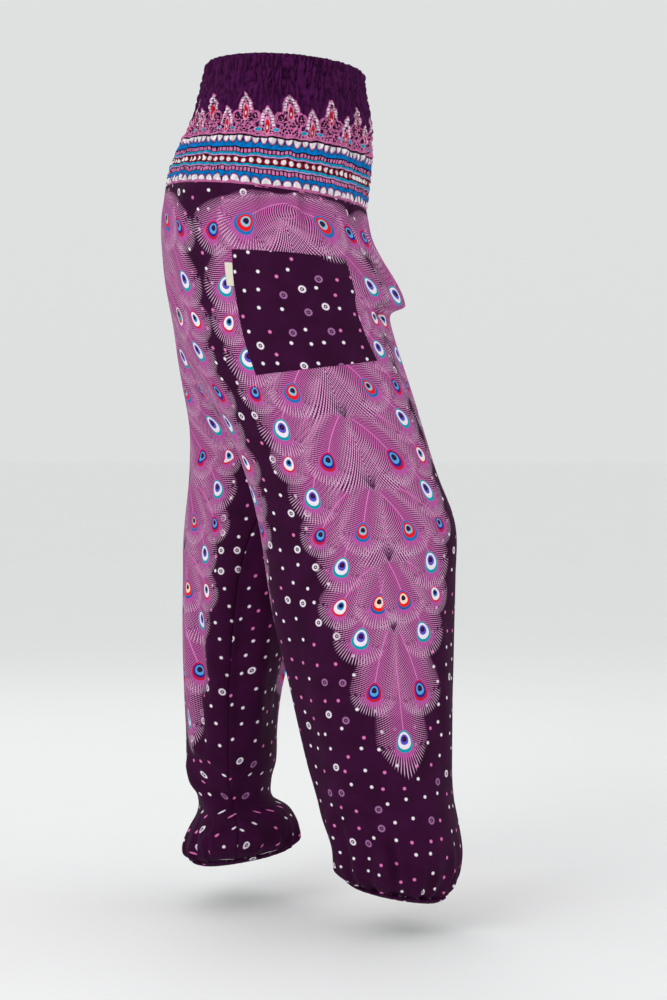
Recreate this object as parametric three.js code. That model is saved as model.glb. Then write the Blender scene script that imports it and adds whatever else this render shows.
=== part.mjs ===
// Harem pants in printed viscose, in the hollow form they keep when worn, with the right leg a step ahead.
// A wide shirred waistband, two wide legs joined by a low crotch seam, gathered ankle casings,
// a patch pocket on the right hip, and a small blank tab in the pocket's rear seam.
// Millimetres. +Z up, +X to the garment's own left, -Y to the front. The origin is the middle of the waist opening.
import * as THREE from "three";

const WALL = 1.6; // thickness of every cloth wall
const SEAM_GAP = 0.3; // clearance between two pieces, or two edges, that are sewn together
const LAY = 0.7; // clearance of a patch from the cloth under it
const RIGHT = -1; // the right leg lies towards -X
const LEFT = 1;

// Sections of the waistband, from the rim to the seam with the legs.
// level: height of the section's middle; half: half its width; front, back: y of its two ends;
// rise: how much the section climbs for each millimetre towards the back
const BAND_SECTIONS = [
  { level: 0, half: 138, front: -93, back: 93, rise: 0.058 },
  { level: -25, half: 141, front: -97, back: 98, rise: 0.065 },
  { level: -55, half: 146, front: -102, back: 106, rise: 0.077 },
  { level: -80, half: 151, front: -103, back: 114, rise: 0.086 },
  { level: -105, half: 157, front: -102, back: 126, rise: 0.097 },
  { level: -130, half: 163, front: -99, back: 135, rise: 0.106 },
  { level: -155, half: 168, front: -97, back: 141, rise: 0.1145 },
];
// Shirring: puckers round the band, staggered from one row of elastic to the next
const SHIRRING = { puckers: 80, rows: 16, puff: 2.4 };
const BAND_INSIDE = { columns: 40, rows: 4 }; // the plain inside of the band

// Sections of the legs. outer, inner: distances of a section's two sides from the middle plane, the inner one
// negative where the section runs on into the other leg; front, back: y of its ends; inseam: y of the seam inside the leg
const RIGHT_SECTIONS = [
  { level: -155, outer: 169, inner: -169, front: -98, back: 142, inseam: -17, rise: 0.1145 },
  { level: -190, outer: 183, inner: -171, front: -104, back: 147, inseam: -17, rise: 0.1 },
  { level: -235, outer: 195, inner: -163, front: -115, back: 145, inseam: -17, rise: 0.075 },
  { level: -280, outer: 203, inner: -139, front: -121, back: 139, inseam: -17, rise: 0.05 },
  { level: -330, outer: 208, inner: -98, front: -133, back: 126, inseam: -17, rise: 0.03 },
  { level: -380, outer: 211, inner: -57, front: -148, back: 101, inseam: -17, rise: 0.015 },
  { level: -430, outer: 211, inner: -20, front: -163, back: 69, inseam: -17, rise: 0 },
  { level: -480, outer: 209, inner: 3, front: -178, back: 45, inseam: -30, rise: 0 },
  { level: -540, outer: 205, inner: 8, front: -199, back: 28, inseam: -75, rise: 0 },
  { level: -600, outer: 200, inner: 12, front: -200, back: 18, inseam: -89, rise: 0 },
  { level: -660, outer: 197, inner: 11, front: -199, back: 9, inseam: -95, rise: 0 },
  { level: -745, outer: 190, inner: 12, front: -196, back: -9, inseam: -102, rise: 0 },
  { level: -815, outer: 184, inner: 13, front: -196, back: -26, inseam: -111, rise: 0 },
  { level: -861, outer: 178, inner: 18, front: -199, back: -39, inseam: -119, rise: 0 },
  { level: -890, outer: 177, inner: 21, front: -204, back: -45, inseam: -125, rise: 0.03 },
  { level: -920, outer: 178, inner: 20, front: -208, back: -53, inseam: -130, rise: 0.06 },
  { level: -943, outer: 173, inner: 24, front: -205, back: -58, inseam: -131, rise: 0.1 },
  { level: -958, outer: 163, inner: 32, front: -197, back: -66, inseam: -131, rise: 0.13 },
  { level: -967, outer: 149, inner: 42, front: -190, back: -76, inseam: -133, rise: 0.15 },
];
const LEFT_SECTIONS = [
  { level: -155, outer: 169, inner: -169, front: -98, back: 142, inseam: -17, rise: 0.1145 },
  { level: -190, outer: 183, inner: -171, front: -104, back: 147, inseam: -17, rise: 0.1 },
  { level: -235, outer: 195, inner: -163, front: -114, back: 147, inseam: -17, rise: 0.075 },
  { level: -280, outer: 203, inner: -139, front: -117, back: 142, inseam: -17, rise: 0.05 },
  { level: -330, outer: 209, inner: -98, front: -108, back: 135, inseam: -17, rise: 0.03 },
  { level: -380, outer: 212, inner: -57, front: -92, back: 127, inseam: -17, rise: 0.015 },
  { level: -430, outer: 212, inner: -20, front: -75, back: 120, inseam: -17, rise: 0 },
  { level: -480, outer: 212, inner: 3, front: -58, back: 121, inseam: -8, rise: 0 },
  { level: -540, outer: 212, inner: 6, front: -42, back: 126, inseam: 34, rise: 0 },
  { level: -600, outer: 209, inner: 7, front: -28, back: 128, inseam: 54, rise: 0 },
  { level: -660, outer: 204, inner: 8, front: -16, back: 129, inseam: 62, rise: 0 },
  { level: -740, outer: 196, inner: 9, front: 2, back: 127, inseam: 68, rise: 0 },
  { level: -800, outer: 189, inner: 12, front: 10, back: 124, inseam: 69, rise: 0 },
  { level: -842, outer: 180, inner: 18, front: 13, back: 124, inseam: 69, rise: 0 },
  { level: -866, outer: 170, inner: 26, front: 19, back: 119, inseam: 68, rise: -0.03 },
  { level: -889, outer: 163, inner: 32, front: 17, back: 113, inseam: 64, rise: -0.06 },
  { level: -904, outer: 171, inner: 24, front: -2, back: 117, inseam: 60, rise: -0.09 },
  { level: -920, outer: 177, inner: 19, front: -10, back: 124, inseam: 58, rise: -0.11 },
  { level: -938, outer: 177, inner: 18, front: -14, back: 128, inseam: 58, rise: -0.12 },
  { level: -949, outer: 168, inner: 26, front: -13, back: 126, inseam: 60, rise: -0.14 },
  { level: -956, outer: 153, inner: 39, front: -4, back: 118, inseam: 62, rise: -0.14 },
];
// The centre seams that join the legs, from the waist at the front and the back to the point of the crotch
const CROTCH_LEVEL = -470;
const CENTRE_SEAMS = [
  { level: -155, front: -98, back: 142 },
  { level: -200, front: -106, back: 147 },
  { level: -250, front: -115, back: 144 },
  { level: -290, front: -116, back: 136 },
  { level: -330, front: -112, back: 122 },
  { level: -370, front: -103, back: 100 },
  { level: -410, front: -86, back: 67 },
  { level: -440, front: -65, back: 37 },
  { level: -460, front: -42, back: 8 },
  { level: CROTCH_LEVEL, front: -17, back: -17 },
];
const SEAM_BLEND = (70 * Math.PI) / 180; // the last stretch of a section, which bends to meet its seam

// Folds of the legs. along: distance round the leg from its outermost line, + to the back; level: height of the middle;
// across, above, below: how far it fades out sideways, up and down; out: how far it stands out, negative in a trough
const FOLDS = [
  { leg: RIGHT, along: 3, level: -155, across: 8, above: 60, below: 62, out: -6 }, // tucks at the waist
  { leg: RIGHT, along: -50, level: -155, across: 8, above: 60, below: 62, out: -6 },
  { leg: RIGHT, along: -130, level: -160, across: 16, above: 60, below: 50, out: -6 },
  { leg: RIGHT, along: 190, level: -400, across: 34, above: 70, below: 55, out: -9 }, // drag towards the crotch
  { leg: RIGHT, along: 110, level: -560, across: 45, above: 130, below: 150, out: 5 },
  { leg: RIGHT, along: 35, level: -945, across: 14, above: 50, below: 60, out: -6 }, // creases over the ankle
  { leg: RIGHT, along: -70, level: -945, across: 18, above: 40, below: 60, out: -5 },
  { leg: RIGHT, along: 120, level: -940, across: 18, above: 40, below: 60, out: -5 },
  { leg: LEFT, along: 3, level: -155, across: 8, above: 60, below: 62, out: -6 },
  { leg: LEFT, along: -50, level: -155, across: 8, above: 60, below: 62, out: -6 },
  { leg: LEFT, along: -130, level: -160, across: 16, above: 60, below: 50, out: -5 },
  { leg: LEFT, along: -200, level: -430, across: 38, above: 80, below: 60, out: -9 },
  { leg: LEFT, along: 215, level: -560, across: 36, above: 90, below: 170, out: -8 },
  { leg: LEFT, along: 150, level: -660, across: 30, above: 130, below: 150, out: 5 },
  { leg: LEFT, along: 60, level: -640, across: 34, above: 150, below: 130, out: -7 },
  { leg: LEFT, along: 110, level: -900, across: 40, above: 14, below: 20, out: -4 },
  { leg: LEFT, along: -70, level: -905, across: 34, above: 14, below: 22, out: -4 },
];
// The front of the hips bags forward and hangs over itself above the right thigh
const FRONT_DRAPE = { x: -62, level: -266, across: 88, above: 44, below: 15, forward: 25, sag: 10 };
// Gathers that fade out upwards from each ankle casing
const GATHERS = { depth: 3.2, fade: 30 };

// Rows of points down a leg, closer together where the cloth folds
const LEG_ZONES = [
  { from: -155, to: -235, rows: 4 },
  { from: -235, to: -295, rows: 5 },
  { from: -295, to: -430, rows: 4 },
  { from: -430, to: CROTCH_LEVEL, rows: 3 },
  { from: CROTCH_LEVEL, to: -850, rows: 6 },
  { from: -850, to: -967, rows: 8 },
];
const LEG_COLUMNS = 36; // two for each gather at the ankle
const ARC_STEPS = 180; // samples of a section when its length is measured

// Ankle casings, the turned hems that hold the elastic. drop: their height; tuck: how far they draw in
const CASING = { drop: 7, tuck: 8, puff: 1.4, rows: 2 };

// Corners of the patch pocket on the right leg, placed like the folds
const POCKET_TOP = { rearAlong: 42, rearLevel: -231, foreAlong: -97, foreLevel: -229 };
const POCKET_BOTTOM = { rearAlong: 49, rearLevel: -371, foreAlong: -114, foreLevel: -350 };
const POCKET_GRID = { columns: 9, rows: 8, gape: 2.5 }; // gape: how far the open top edge stands off the leg
const TAB = { top: -246, bottom: -272, reach: 9.5, thickness: 1.2, columns: 2, rows: 3 };

// The value of a table's column at a level, on a smooth curve through its rows
function column(rows, key, level) {
  const last = rows.length - 1;
  if (level >= rows[0].level) return rows[0][key];
  if (level <= rows[last].level) return rows[last][key];
  let i = 0;
  while (rows[i + 1].level > level) i++;
  const slope = (j) => {
    const above = rows[Math.max(j - 1, 0)];
    const below = rows[Math.min(j + 1, last)];
    return (below[key] - above[key]) / (below.level - above.level);
  };
  const span = rows[i + 1].level - rows[i].level;
  const t = (level - rows[i].level) / span;
  return (
    rows[i][key] * (1 + 2 * t) * (1 - t) ** 2 +
    rows[i + 1][key] * t * t * (3 - 2 * t) +
    slope(i) * span * t * (1 - t) ** 2 +
    slope(i + 1) * span * t * t * (t - 1)
  );
}

function mix(a, b, t) {
  return a + (b - a) * t;
}

function smooth(t) {
  const c = Math.min(Math.max(t, 0), 1);
  return c * c * (3 - 2 * c);
}

function bell(distance, width) {
  return Math.exp(-((distance / width) ** 2));
}

function sectionsOf(side) {
  return side === RIGHT ? RIGHT_SECTIONS : LEFT_SECTIONS;
}

// The slanting plane of a section: its height at each y
function planeOf(rows, level) {
  const centre = (column(rows, "front", level) + column(rows, "back", level)) / 2;
  const rise = column(rows, "rise", level);
  return (y) => level + rise * (y - centre);
}

// One section of a leg, seen from above: an oval that stops at the centre seams above the crotch,
// and below it closes on the inseam. Its points are placed by their distance round it from the outermost line.
function legSection(side, level) {
  const get = (key) => column(sectionsOf(side), key, level);
  const middle = (get("outer") + get("inner")) / 2;
  const reach = (get("outer") - get("inner")) / 2;
  const centre = (get("front") + get("back")) / 2;
  const depth = (get("back") - get("front")) / 2;
  const parted = level >= CROTCH_LEVEL;
  const cosine = Math.min(Math.max((middle - SEAM_GAP / 2) / reach, -1), 1);
  const end = parted ? Math.acos(-cosine) : Math.PI - SEAM_GAP / 2 / depth;
  const blendStart = Math.max(end - SEAM_BLEND, Math.PI / 2);
  const seam = (half) => {
    if (parted) return column(CENTRE_SEAMS, half < 0 ? "front" : "back", level) + (half * SEAM_GAP) / 2;
    return get("inseam") + (half * SEAM_GAP) / 2;
  };
  const oval = (angle) => {
    const half = angle < 0 ? -1 : 1;
    const bend = smooth((Math.abs(angle) - blendStart) / (end - blendStart));
    const x = Math.max(middle + reach * Math.cos(angle), SEAM_GAP / 2);
    const y = centre + depth * Math.sin(angle);
    return new THREE.Vector2(side * x, y + bend * (seam(half) - centre - half * depth * Math.sin(end)));
  };
  const points = [];
  const lengths = [0];
  for (let i = 0; i <= ARC_STEPS; i++) {
    points.push(oval(end * ((2 * i) / ARC_STEPS - 1)));
    if (i) lengths.push(lengths[i - 1] + points[i].distanceTo(points[i - 1]));
  }
  const ahead = lengths[ARC_STEPS / 2]; // length of the front half
  const place = (along) => {
    let i = 1;
    while (i < ARC_STEPS && lengths[i] < along + ahead) i++;
    const t = (along + ahead - lengths[i - 1]) / (lengths[i] - lengths[i - 1]);
    const way = points[i].clone().sub(points[i - 1]).normalize();
    return {
      spot: points[i - 1].clone().lerp(points[i], t),
      out: new THREE.Vector2(side * way.y, -side * way.x),
    };
  };
  const plane = planeOf(sectionsOf(side), level);
  return { place, front: -ahead, back: lengths[ARC_STEPS] - ahead, centre, depth, plane, level };
}

// A point of a leg's outer face, with or without the gathers over the ankle
function legPoint(side, section, along, gathered = true) {
  const { spot, out } = section.place(along);
  const toSeam = Math.min(along - section.front, section.back - along);
  const free = smooth(toSeam / 40); // the seams themselves don't fold
  let push = 0;
  for (const fold of FOLDS) {
    if (fold.leg !== side) continue;
    const up = section.level - fold.level;
    push += fold.out * free * bell(along - fold.along, fold.across) * bell(up, up > 0 ? fold.above : fold.below);
  }
  const turns = ((along - section.front) / (section.back - section.front)) * (LEG_COLUMNS / 2);
  const hem = sectionsOf(side).at(-1).level;
  const depth = gathered ? GATHERS.depth : 0;
  push += depth * free * bell(section.level - hem, GATHERS.fade) * Math.cos(2 * Math.PI * turns);
  const x = spot.x + out.x * push;
  const y = spot.y + out.y * push;
  const frontness = Math.max((section.centre - y) / section.depth, 0) ** 1.5;
  const up = section.level - FRONT_DRAPE.level;
  const drape =
    frontness *
    bell(x - FRONT_DRAPE.x, FRONT_DRAPE.across) *
    bell(up, up > 0 ? FRONT_DRAPE.above : FRONT_DRAPE.below);
  return new THREE.Vector3(x, y - FRONT_DRAPE.forward * drape, section.plane(spot.y) - FRONT_DRAPE.sag * drape);
}

// The rows of points of a leg's outer face, each from the front seam round to the back seam
function legGrid(side, gathered) {
  return legLevels(side).map((level) => {
    const section = legSection(side, level);
    return Array.from({ length: LEG_COLUMNS + 1 }, (_, j) =>
      legPoint(side, section, mix(section.front, section.back, j / LEG_COLUMNS), gathered),
    );
  });
}

function legLevels(side) {
  const hem = sectionsOf(side).at(-1).level;
  const lowest = LEG_ZONES.at(-1).to;
  const scale = (hem - CROTCH_LEVEL) / (lowest - CROTCH_LEVEL); // both legs part at the same level
  const levels = [LEG_ZONES[0].from];
  for (const { from, to, rows } of LEG_ZONES) {
    for (let k = 1; k <= rows; k++) {
      const level = from + ((to - from) * k) / rows;
      levels.push(Math.max(level, CROTCH_LEVEL) + Math.min(level - CROTCH_LEVEL, 0) * scale);
    }
  }
  return levels;
}

// Outward normals of a grid of points, from each point's neighbours
function gridNormals(grid, facing, closed) {
  const columns = grid[0].length;
  return grid.map((row, i) =>
    row.map((_, j) => {
      const before = closed ? (j + columns - 1) % columns : Math.max(j - 1, 0);
      const after = closed ? (j + 1) % columns : Math.min(j + 1, columns - 1);
      const across = row[after].clone().sub(row[before]);
      const down = grid[Math.min(i + 1, grid.length - 1)][j].clone().sub(grid[Math.max(i - 1, 0)][j]);
      return across.cross(down).normalize().multiplyScalar(facing);
    }),
  );
}

function offsetGrid(grid, normals, distance) {
  return grid.map((row, i) => row.map((point, j) => point.clone().addScaledVector(normals[i][j], distance)));
}

// The same grid with its first and last rows cut off level with two planes
function trimmed(grid, top, bottom) {
  for (const point of grid[0]) point.z = top(point.y);
  for (const point of grid.at(-1)) point.z = bottom(point.y);
  return grid;
}

// A strip of triangles between two lines of vertices that start and end together
function stitch(faces, one, other) {
  let i = 0;
  let j = 0;
  while (i < one.length - 1 || j < other.length - 1) {
    if ((i + 1) * (other.length - 1) <= (j + 1) * (one.length - 1)) {
      faces.push(one[i], one[i + 1], other[j]);
      i++;
    } else {
      faces.push(one[i], other[j + 1], other[j]);
      j++;
    }
  }
}

// A closed wall between an outer and an inner grid of points. closed: both grids join up into rings
function wall(outer, inner, closed) {
  const points = [...outer.flat(), ...inner.flat()];
  const faces = [];
  const numbered = (grid, first) =>
    grid.map((row, i) => {
      const line = row.map((_, j) => first + i * row.length + j);
      return closed ? [...line, line[0]] : line;
    });
  const outside = numbered(outer, 0);
  const inside = numbered(inner, outer.flat().length);
  for (let i = 1; i < outside.length; i++) stitch(faces, outside[i - 1], outside[i]);
  const lining = []; // split along the same diagonals as the outside, and turned to face the other way
  for (let i = 1; i < inside.length; i++) stitch(lining, inside[i - 1], inside[i]);
  faces.push(...lining.toReversed());
  stitch(faces, inside[0], outside[0]);
  stitch(faces, outside.at(-1), inside.at(-1));
  if (!closed) {
    stitch(faces, outside.map((line) => line[0]), inside.map((line) => line[0]));
    stitch(faces, inside.map((line) => line.at(-1)), outside.map((line) => line.at(-1)));
  }
  return outwardGeometry(points, faces);
}

// Geometry whose faces are turned to point out of the solid
function outwardGeometry(points, faces) {
  let volume = 0;
  for (let k = 0; k < faces.length; k += 3) {
    const [a, b, c] = [0, 1, 2].map((corner) => points[faces[k + corner]]);
    volume += a.dot(b.clone().cross(c));
  }
  const geometry = new THREE.BufferGeometry().setFromPoints(points);
  geometry.setIndex(volume < 0 ? faces.toReversed() : faces);
  geometry.computeVertexNormals();
  return geometry;
}

// A plane just below another, by the clearance of a seam
function sewnBelow(plane) {
  return (y) => plane(y) - SEAM_GAP;
}

// Normals of a leg whose wall doesn't reach past the middle plane above the crotch,
// and whose two edges face each other squarely along the inseam below it
function legNormals(side, levels, grid) {
  const normals = gridNormals(grid, -side, false);
  normals.forEach((row, i) => {
    const ends = [row[0], row.at(-1)];
    if (levels[i] > CROTCH_LEVEL) {
      for (const end of ends) end.setX(side * Math.min(side * end.x, 0)).normalize();
    } else {
      const shared = ends[0].clone().add(ends[1]).setY(0).normalize();
      for (const end of ends) end.copy(shared);
    }
  });
  return normals;
}

// The wall is measured square to the leg's form without its gathers, so that its inside doesn't cross itself in them
function makeLeg(side) {
  const rows = sectionsOf(side);
  const outer = legGrid(side, true);
  const inner = offsetGrid(outer, legNormals(side, legLevels(side), legGrid(side, false)), -WALL);
  const ends = [sewnBelow(planeOf(rows, rows[0].level)), planeOf(rows, rows.at(-1).level)];
  return wall(trimmed(outer, ...ends), trimmed(inner, ...ends), false);
}

// Rings of points round the waistband's smooth form
function bandGrid(rows, around) {
  const top = BAND_SECTIONS[0].level;
  const bottom = BAND_SECTIONS.at(-1).level;
  return Array.from({ length: rows + 1 }, (_, i) => {
    const level = top + ((bottom - top) * i) / rows;
    const get = (key) => column(BAND_SECTIONS, key, level);
    const plane = planeOf(BAND_SECTIONS, level);
    return Array.from({ length: around }, (_, j) => {
      const angle = (2 * Math.PI * j) / around;
      const y = mix(get("front"), get("back"), (1 + Math.sin(angle)) / 2);
      return new THREE.Vector3(get("half") * Math.cos(angle), y, plane(y));
    });
  });
}

function makeWaistband() {
  const smoothFace = bandGrid(SHIRRING.rows, 2 * SHIRRING.puckers);
  const normals = gridNormals(smoothFace, -1, true);
  const outer = smoothFace.map((ring, i) =>
    ring.map((point, j) => point.clone().addScaledVector(normals[i][j], (i + j) % 2 ? SHIRRING.puff : 0)),
  );
  const plain = bandGrid(BAND_INSIDE.rows, BAND_INSIDE.columns);
  const inner = offsetGrid(plain, gridNormals(plain, -1, true), -WALL);
  const ends = [BAND_SECTIONS[0].level, BAND_SECTIONS.at(-1).level].map((level) => planeOf(BAND_SECTIONS, level));
  return wall(trimmed(outer, ...ends), trimmed(inner, ...ends), true);
}

function makeAnkleCasing(side) {
  const rows = sectionsOf(side);
  const section = legSection(side, rows.at(-1).level);
  const top = sewnBelow(section.plane);
  const outer = Array.from({ length: CASING.rows + 1 }, (_, i) => {
    const share = i / CASING.rows;
    return Array.from({ length: LEG_COLUMNS }, (_, j) => {
      const along = mix(section.front, section.back, j / LEG_COLUMNS);
      const { spot, out } = section.place(along);
      const push = (j % 2 ? -1 : 1) * CASING.puff * (1 - share / 2) - CASING.tuck * share;
      return new THREE.Vector3(spot.x + out.x * push, spot.y + out.y * push, top(spot.y) - CASING.drop * share);
    });
  });
  const inner = offsetGrid(outer, gridNormals(outer, -side, true), -WALL);
  const bottom = (y) => top(y) - CASING.drop;
  return wall(trimmed(outer, top, bottom), trimmed(inner, top, bottom), true);
}

// Two faces of a patch that lies on the right leg. spot(u, v): its place on the leg; lift(u, v): its inner face's height
function patch(columns, rows, thickness, spot, lift) {
  const face = (raised) =>
    Array.from({ length: rows + 1 }, (_, i) =>
      Array.from({ length: columns + 1 }, (_, j) => {
        const [u, v] = [j / columns, i / rows];
        const { along, level } = spot(u, v);
        const section = legSection(RIGHT, level);
        const { out } = section.place(along);
        const height = LAY + lift(u, v) + raised;
        return legPoint(RIGHT, section, along).add(new THREE.Vector3(out.x * height, out.y * height, 0));
      }),
    );
  return wall(face(thickness), face(0), false);
}

function makePocket() {
  const spot = (u, v) => ({
    along: mix(
      mix(POCKET_TOP.foreAlong, POCKET_TOP.rearAlong, u),
      mix(POCKET_BOTTOM.foreAlong, POCKET_BOTTOM.rearAlong, u),
      v,
    ),
    level: mix(
      mix(POCKET_TOP.foreLevel, POCKET_TOP.rearLevel, u),
      mix(POCKET_BOTTOM.foreLevel, POCKET_BOTTOM.rearLevel, u),
      v,
    ),
  });
  const gape = (u, v) => POCKET_GRID.gape * Math.sin(Math.PI * u) * (1 - v) ** 2;
  return patch(POCKET_GRID.columns, POCKET_GRID.rows, WALL, spot, gape);
}

function makeTab() {
  const spot = (u, v) => {
    const level = mix(TAB.top, TAB.bottom, v);
    const down = (POCKET_TOP.rearLevel - level) / (POCKET_TOP.rearLevel - POCKET_BOTTOM.rearLevel);
    const edge = mix(POCKET_TOP.rearAlong, POCKET_BOTTOM.rearAlong, down);
    return { along: edge + SEAM_GAP + TAB.reach * u, level };
  };
  return patch(TAB.columns, TAB.rows, TAB.thickness, spot, () => 0);
}

function cloth(name, color, roughness) {
  return new THREE.MeshStandardMaterial({ name, color, roughness, metalness: 0 });
}

const printed = cloth("viscose with the feather print", 0x8f4089, 0.72);
const shirred = cloth("shirred viscose with the border print", 0x4a1644, 0.78);
const dotted = cloth("viscose with the dotted ground", 0x42143c, 0.75);
const tape = cloth("woven cream tape", 0xe8e4d2, 0.85);

const pants = new THREE.Group();
pants.name = "harem_pants";
const pieces = [
  ["waistband", makeWaistband(), shirred],
  ["right_leg", makeLeg(RIGHT), printed],
  ["left_leg", makeLeg(LEFT), printed],
  ["right_ankle_casing", makeAnkleCasing(RIGHT), dotted],
  ["left_ankle_casing", makeAnkleCasing(LEFT), dotted],
  ["side_pocket", makePocket(), dotted],
  ["pocket_tab", makeTab(), tape],
];
for (const [name, geometry, material] of pieces) {
  const piece = new THREE.Mesh(geometry, material);
  piece.name = name;
  pants.add(piece);
}

export default pants;
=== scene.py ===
# Harem pants in printed viscose: cloth shells, the feather and border prints, floor, lights and camera.
# The pieces are in metres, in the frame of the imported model; tables and the flat cloth are in millimetres.
# +Z up, +X to the garment's own left, -Y to the front.
import math

import bmesh
import bpy
import numpy as np
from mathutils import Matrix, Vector, noise


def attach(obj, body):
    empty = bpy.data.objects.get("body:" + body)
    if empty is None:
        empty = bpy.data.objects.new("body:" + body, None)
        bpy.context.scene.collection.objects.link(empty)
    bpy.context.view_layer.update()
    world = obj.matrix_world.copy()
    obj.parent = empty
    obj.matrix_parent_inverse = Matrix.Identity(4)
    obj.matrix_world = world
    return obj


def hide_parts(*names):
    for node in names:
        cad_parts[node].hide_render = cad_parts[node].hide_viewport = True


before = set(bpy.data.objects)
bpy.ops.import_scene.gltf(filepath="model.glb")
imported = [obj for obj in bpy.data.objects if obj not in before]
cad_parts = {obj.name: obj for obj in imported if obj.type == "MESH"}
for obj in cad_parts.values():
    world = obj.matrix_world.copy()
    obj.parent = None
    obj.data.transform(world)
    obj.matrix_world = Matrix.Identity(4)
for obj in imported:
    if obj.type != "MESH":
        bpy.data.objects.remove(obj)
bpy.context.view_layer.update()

RIGHT, LEFT = -1, 1
METRES = 0.001  # one millimetre
CLOTH = 0.0006  # thickness of viscose, with its nap

# Form of the waistband and the legs, in millimetres
WAIST_SEAM = -155  # level of the seam between the waistband and the legs
BAND_COLUMNS = ("level", "half", "front", "back", "rise")
BAND_SECTIONS = (
    (0, 138, -93, 93, 0.058),
    (-25, 141, -97, 98, 0.065),
    (-55, 146, -102, 106, 0.077),
    (-80, 151, -103, 114, 0.086),
    (-105, 157, -102, 126, 0.097),
    (-130, 163, -99, 135, 0.106),
    (-155, 168, -97, 141, 0.1145),
)
LEG_COLUMNS = ("level", "outer", "inner", "front", "back", "inseam", "rise")
RIGHT_SECTIONS = (
    (-155, 169, -169, -98, 142, -17, 0.1145),
    (-190, 183, -171, -104, 147, -17, 0.1),
    (-235, 195, -163, -115, 145, -17, 0.075),
    (-280, 203, -139, -121, 139, -17, 0.05),
    (-330, 208, -98, -133, 126, -17, 0.03),
    (-380, 211, -57, -148, 101, -17, 0.015),
    (-430, 211, -20, -163, 69, -17, 0),
    (-480, 209, 3, -178, 45, -30, 0),
    (-540, 205, 8, -199, 28, -75, 0),
    (-600, 200, 12, -200, 18, -89, 0),
    (-660, 197, 11, -199, 9, -95, 0),
    (-745, 190, 12, -196, -9, -102, 0),
    (-815, 184, 13, -196, -26, -111, 0),
    (-861, 178, 18, -199, -39, -119, 0),
    (-890, 177, 21, -204, -45, -125, 0.03),
    (-920, 178, 20, -208, -53, -130, 0.06),
    (-943, 173, 24, -205, -58, -131, 0.1),
    (-958, 163, 32, -197, -66, -131, 0.13),
    (-967, 149, 42, -190, -76, -133, 0.15),
)
LEFT_SECTIONS = (
    (-155, 169, -169, -98, 142, -17, 0.1145),
    (-190, 183, -171, -104, 147, -17, 0.1),
    (-235, 195, -163, -114, 147, -17, 0.075),
    (-280, 203, -139, -117, 142, -17, 0.05),
    (-330, 209, -98, -108, 135, -17, 0.03),
    (-380, 212, -57, -92, 127, -17, 0.015),
    (-430, 212, -20, -75, 120, -17, 0),
    (-480, 212, 3, -58, 121, -8, 0),
    (-540, 212, 6, -42, 126, 34, 0),
    (-600, 209, 7, -28, 128, 54, 0),
    (-660, 204, 8, -16, 129, 62, 0),
    (-740, 196, 9, 2, 127, 68, 0),
    (-800, 189, 12, 10, 124, 69, 0),
    (-842, 180, 18, 13, 124, 69, 0),
    (-866, 170, 26, 19, 119, 68, -0.03),
    (-889, 163, 32, 17, 113, 64, -0.06),
    (-904, 171, 24, -2, 117, 60, -0.09),
    (-920, 177, 19, -10, 124, 58, -0.11),
    (-938, 177, 18, -14, 128, 58, -0.12),
    (-949, 168, 26, -13, 126, 60, -0.14),
    (-956, 153, 39, -4, 118, 62, -0.14),
)
CROTCH_LEVEL = -470
CENTRE_SEAM_COLUMNS = ("level", "front", "back")
CENTRE_SEAMS = (
    (-155, -98, 142),
    (-200, -106, 147),
    (-250, -115, 144),
    (-290, -116, 136),
    (-330, -112, 122),
    (-370, -103, 100),
    (-410, -86, 67),
    (-440, -65, 37),
    (-460, -42, 8),
    (CROTCH_LEVEL, -17, -17),
)
SEAM_BLEND = math.radians(70)
# Soft folds. leg; along: distance round the leg from its outermost line, + to the back; level of the middle;
# across, above, below: how far it fades out; out: how far it stands out, negative in a trough
FOLDS = (
    (RIGHT, 3, -155, 8, 60, 62, -6),
    (RIGHT, -50, -155, 8, 60, 62, -6),
    (RIGHT, -130, -160, 16, 60, 50, -6),
    (RIGHT, 190, -400, 34, 70, 55, -9),
    (RIGHT, 110, -560, 45, 130, 150, 5),
    (RIGHT, 35, -945, 14, 50, 60, -6),
    (RIGHT, -70, -945, 18, 40, 60, -5),
    (RIGHT, 120, -940, 18, 40, 60, -5),
    (LEFT, 3, -155, 8, 60, 62, -6),
    (LEFT, -50, -155, 8, 60, 62, -6),
    (LEFT, -130, -160, 16, 60, 50, -5),
    (LEFT, -200, -430, 38, 80, 60, -9),
    (LEFT, 215, -560, 36, 90, 170, -8),
    (LEFT, 150, -660, 30, 130, 150, 5),
    (LEFT, 60, -640, 34, 150, 130, -7),
    (LEFT, 110, -900, 40, 14, 20, -4),
    (LEFT, -70, -905, 34, 14, 22, -4),
)
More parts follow.
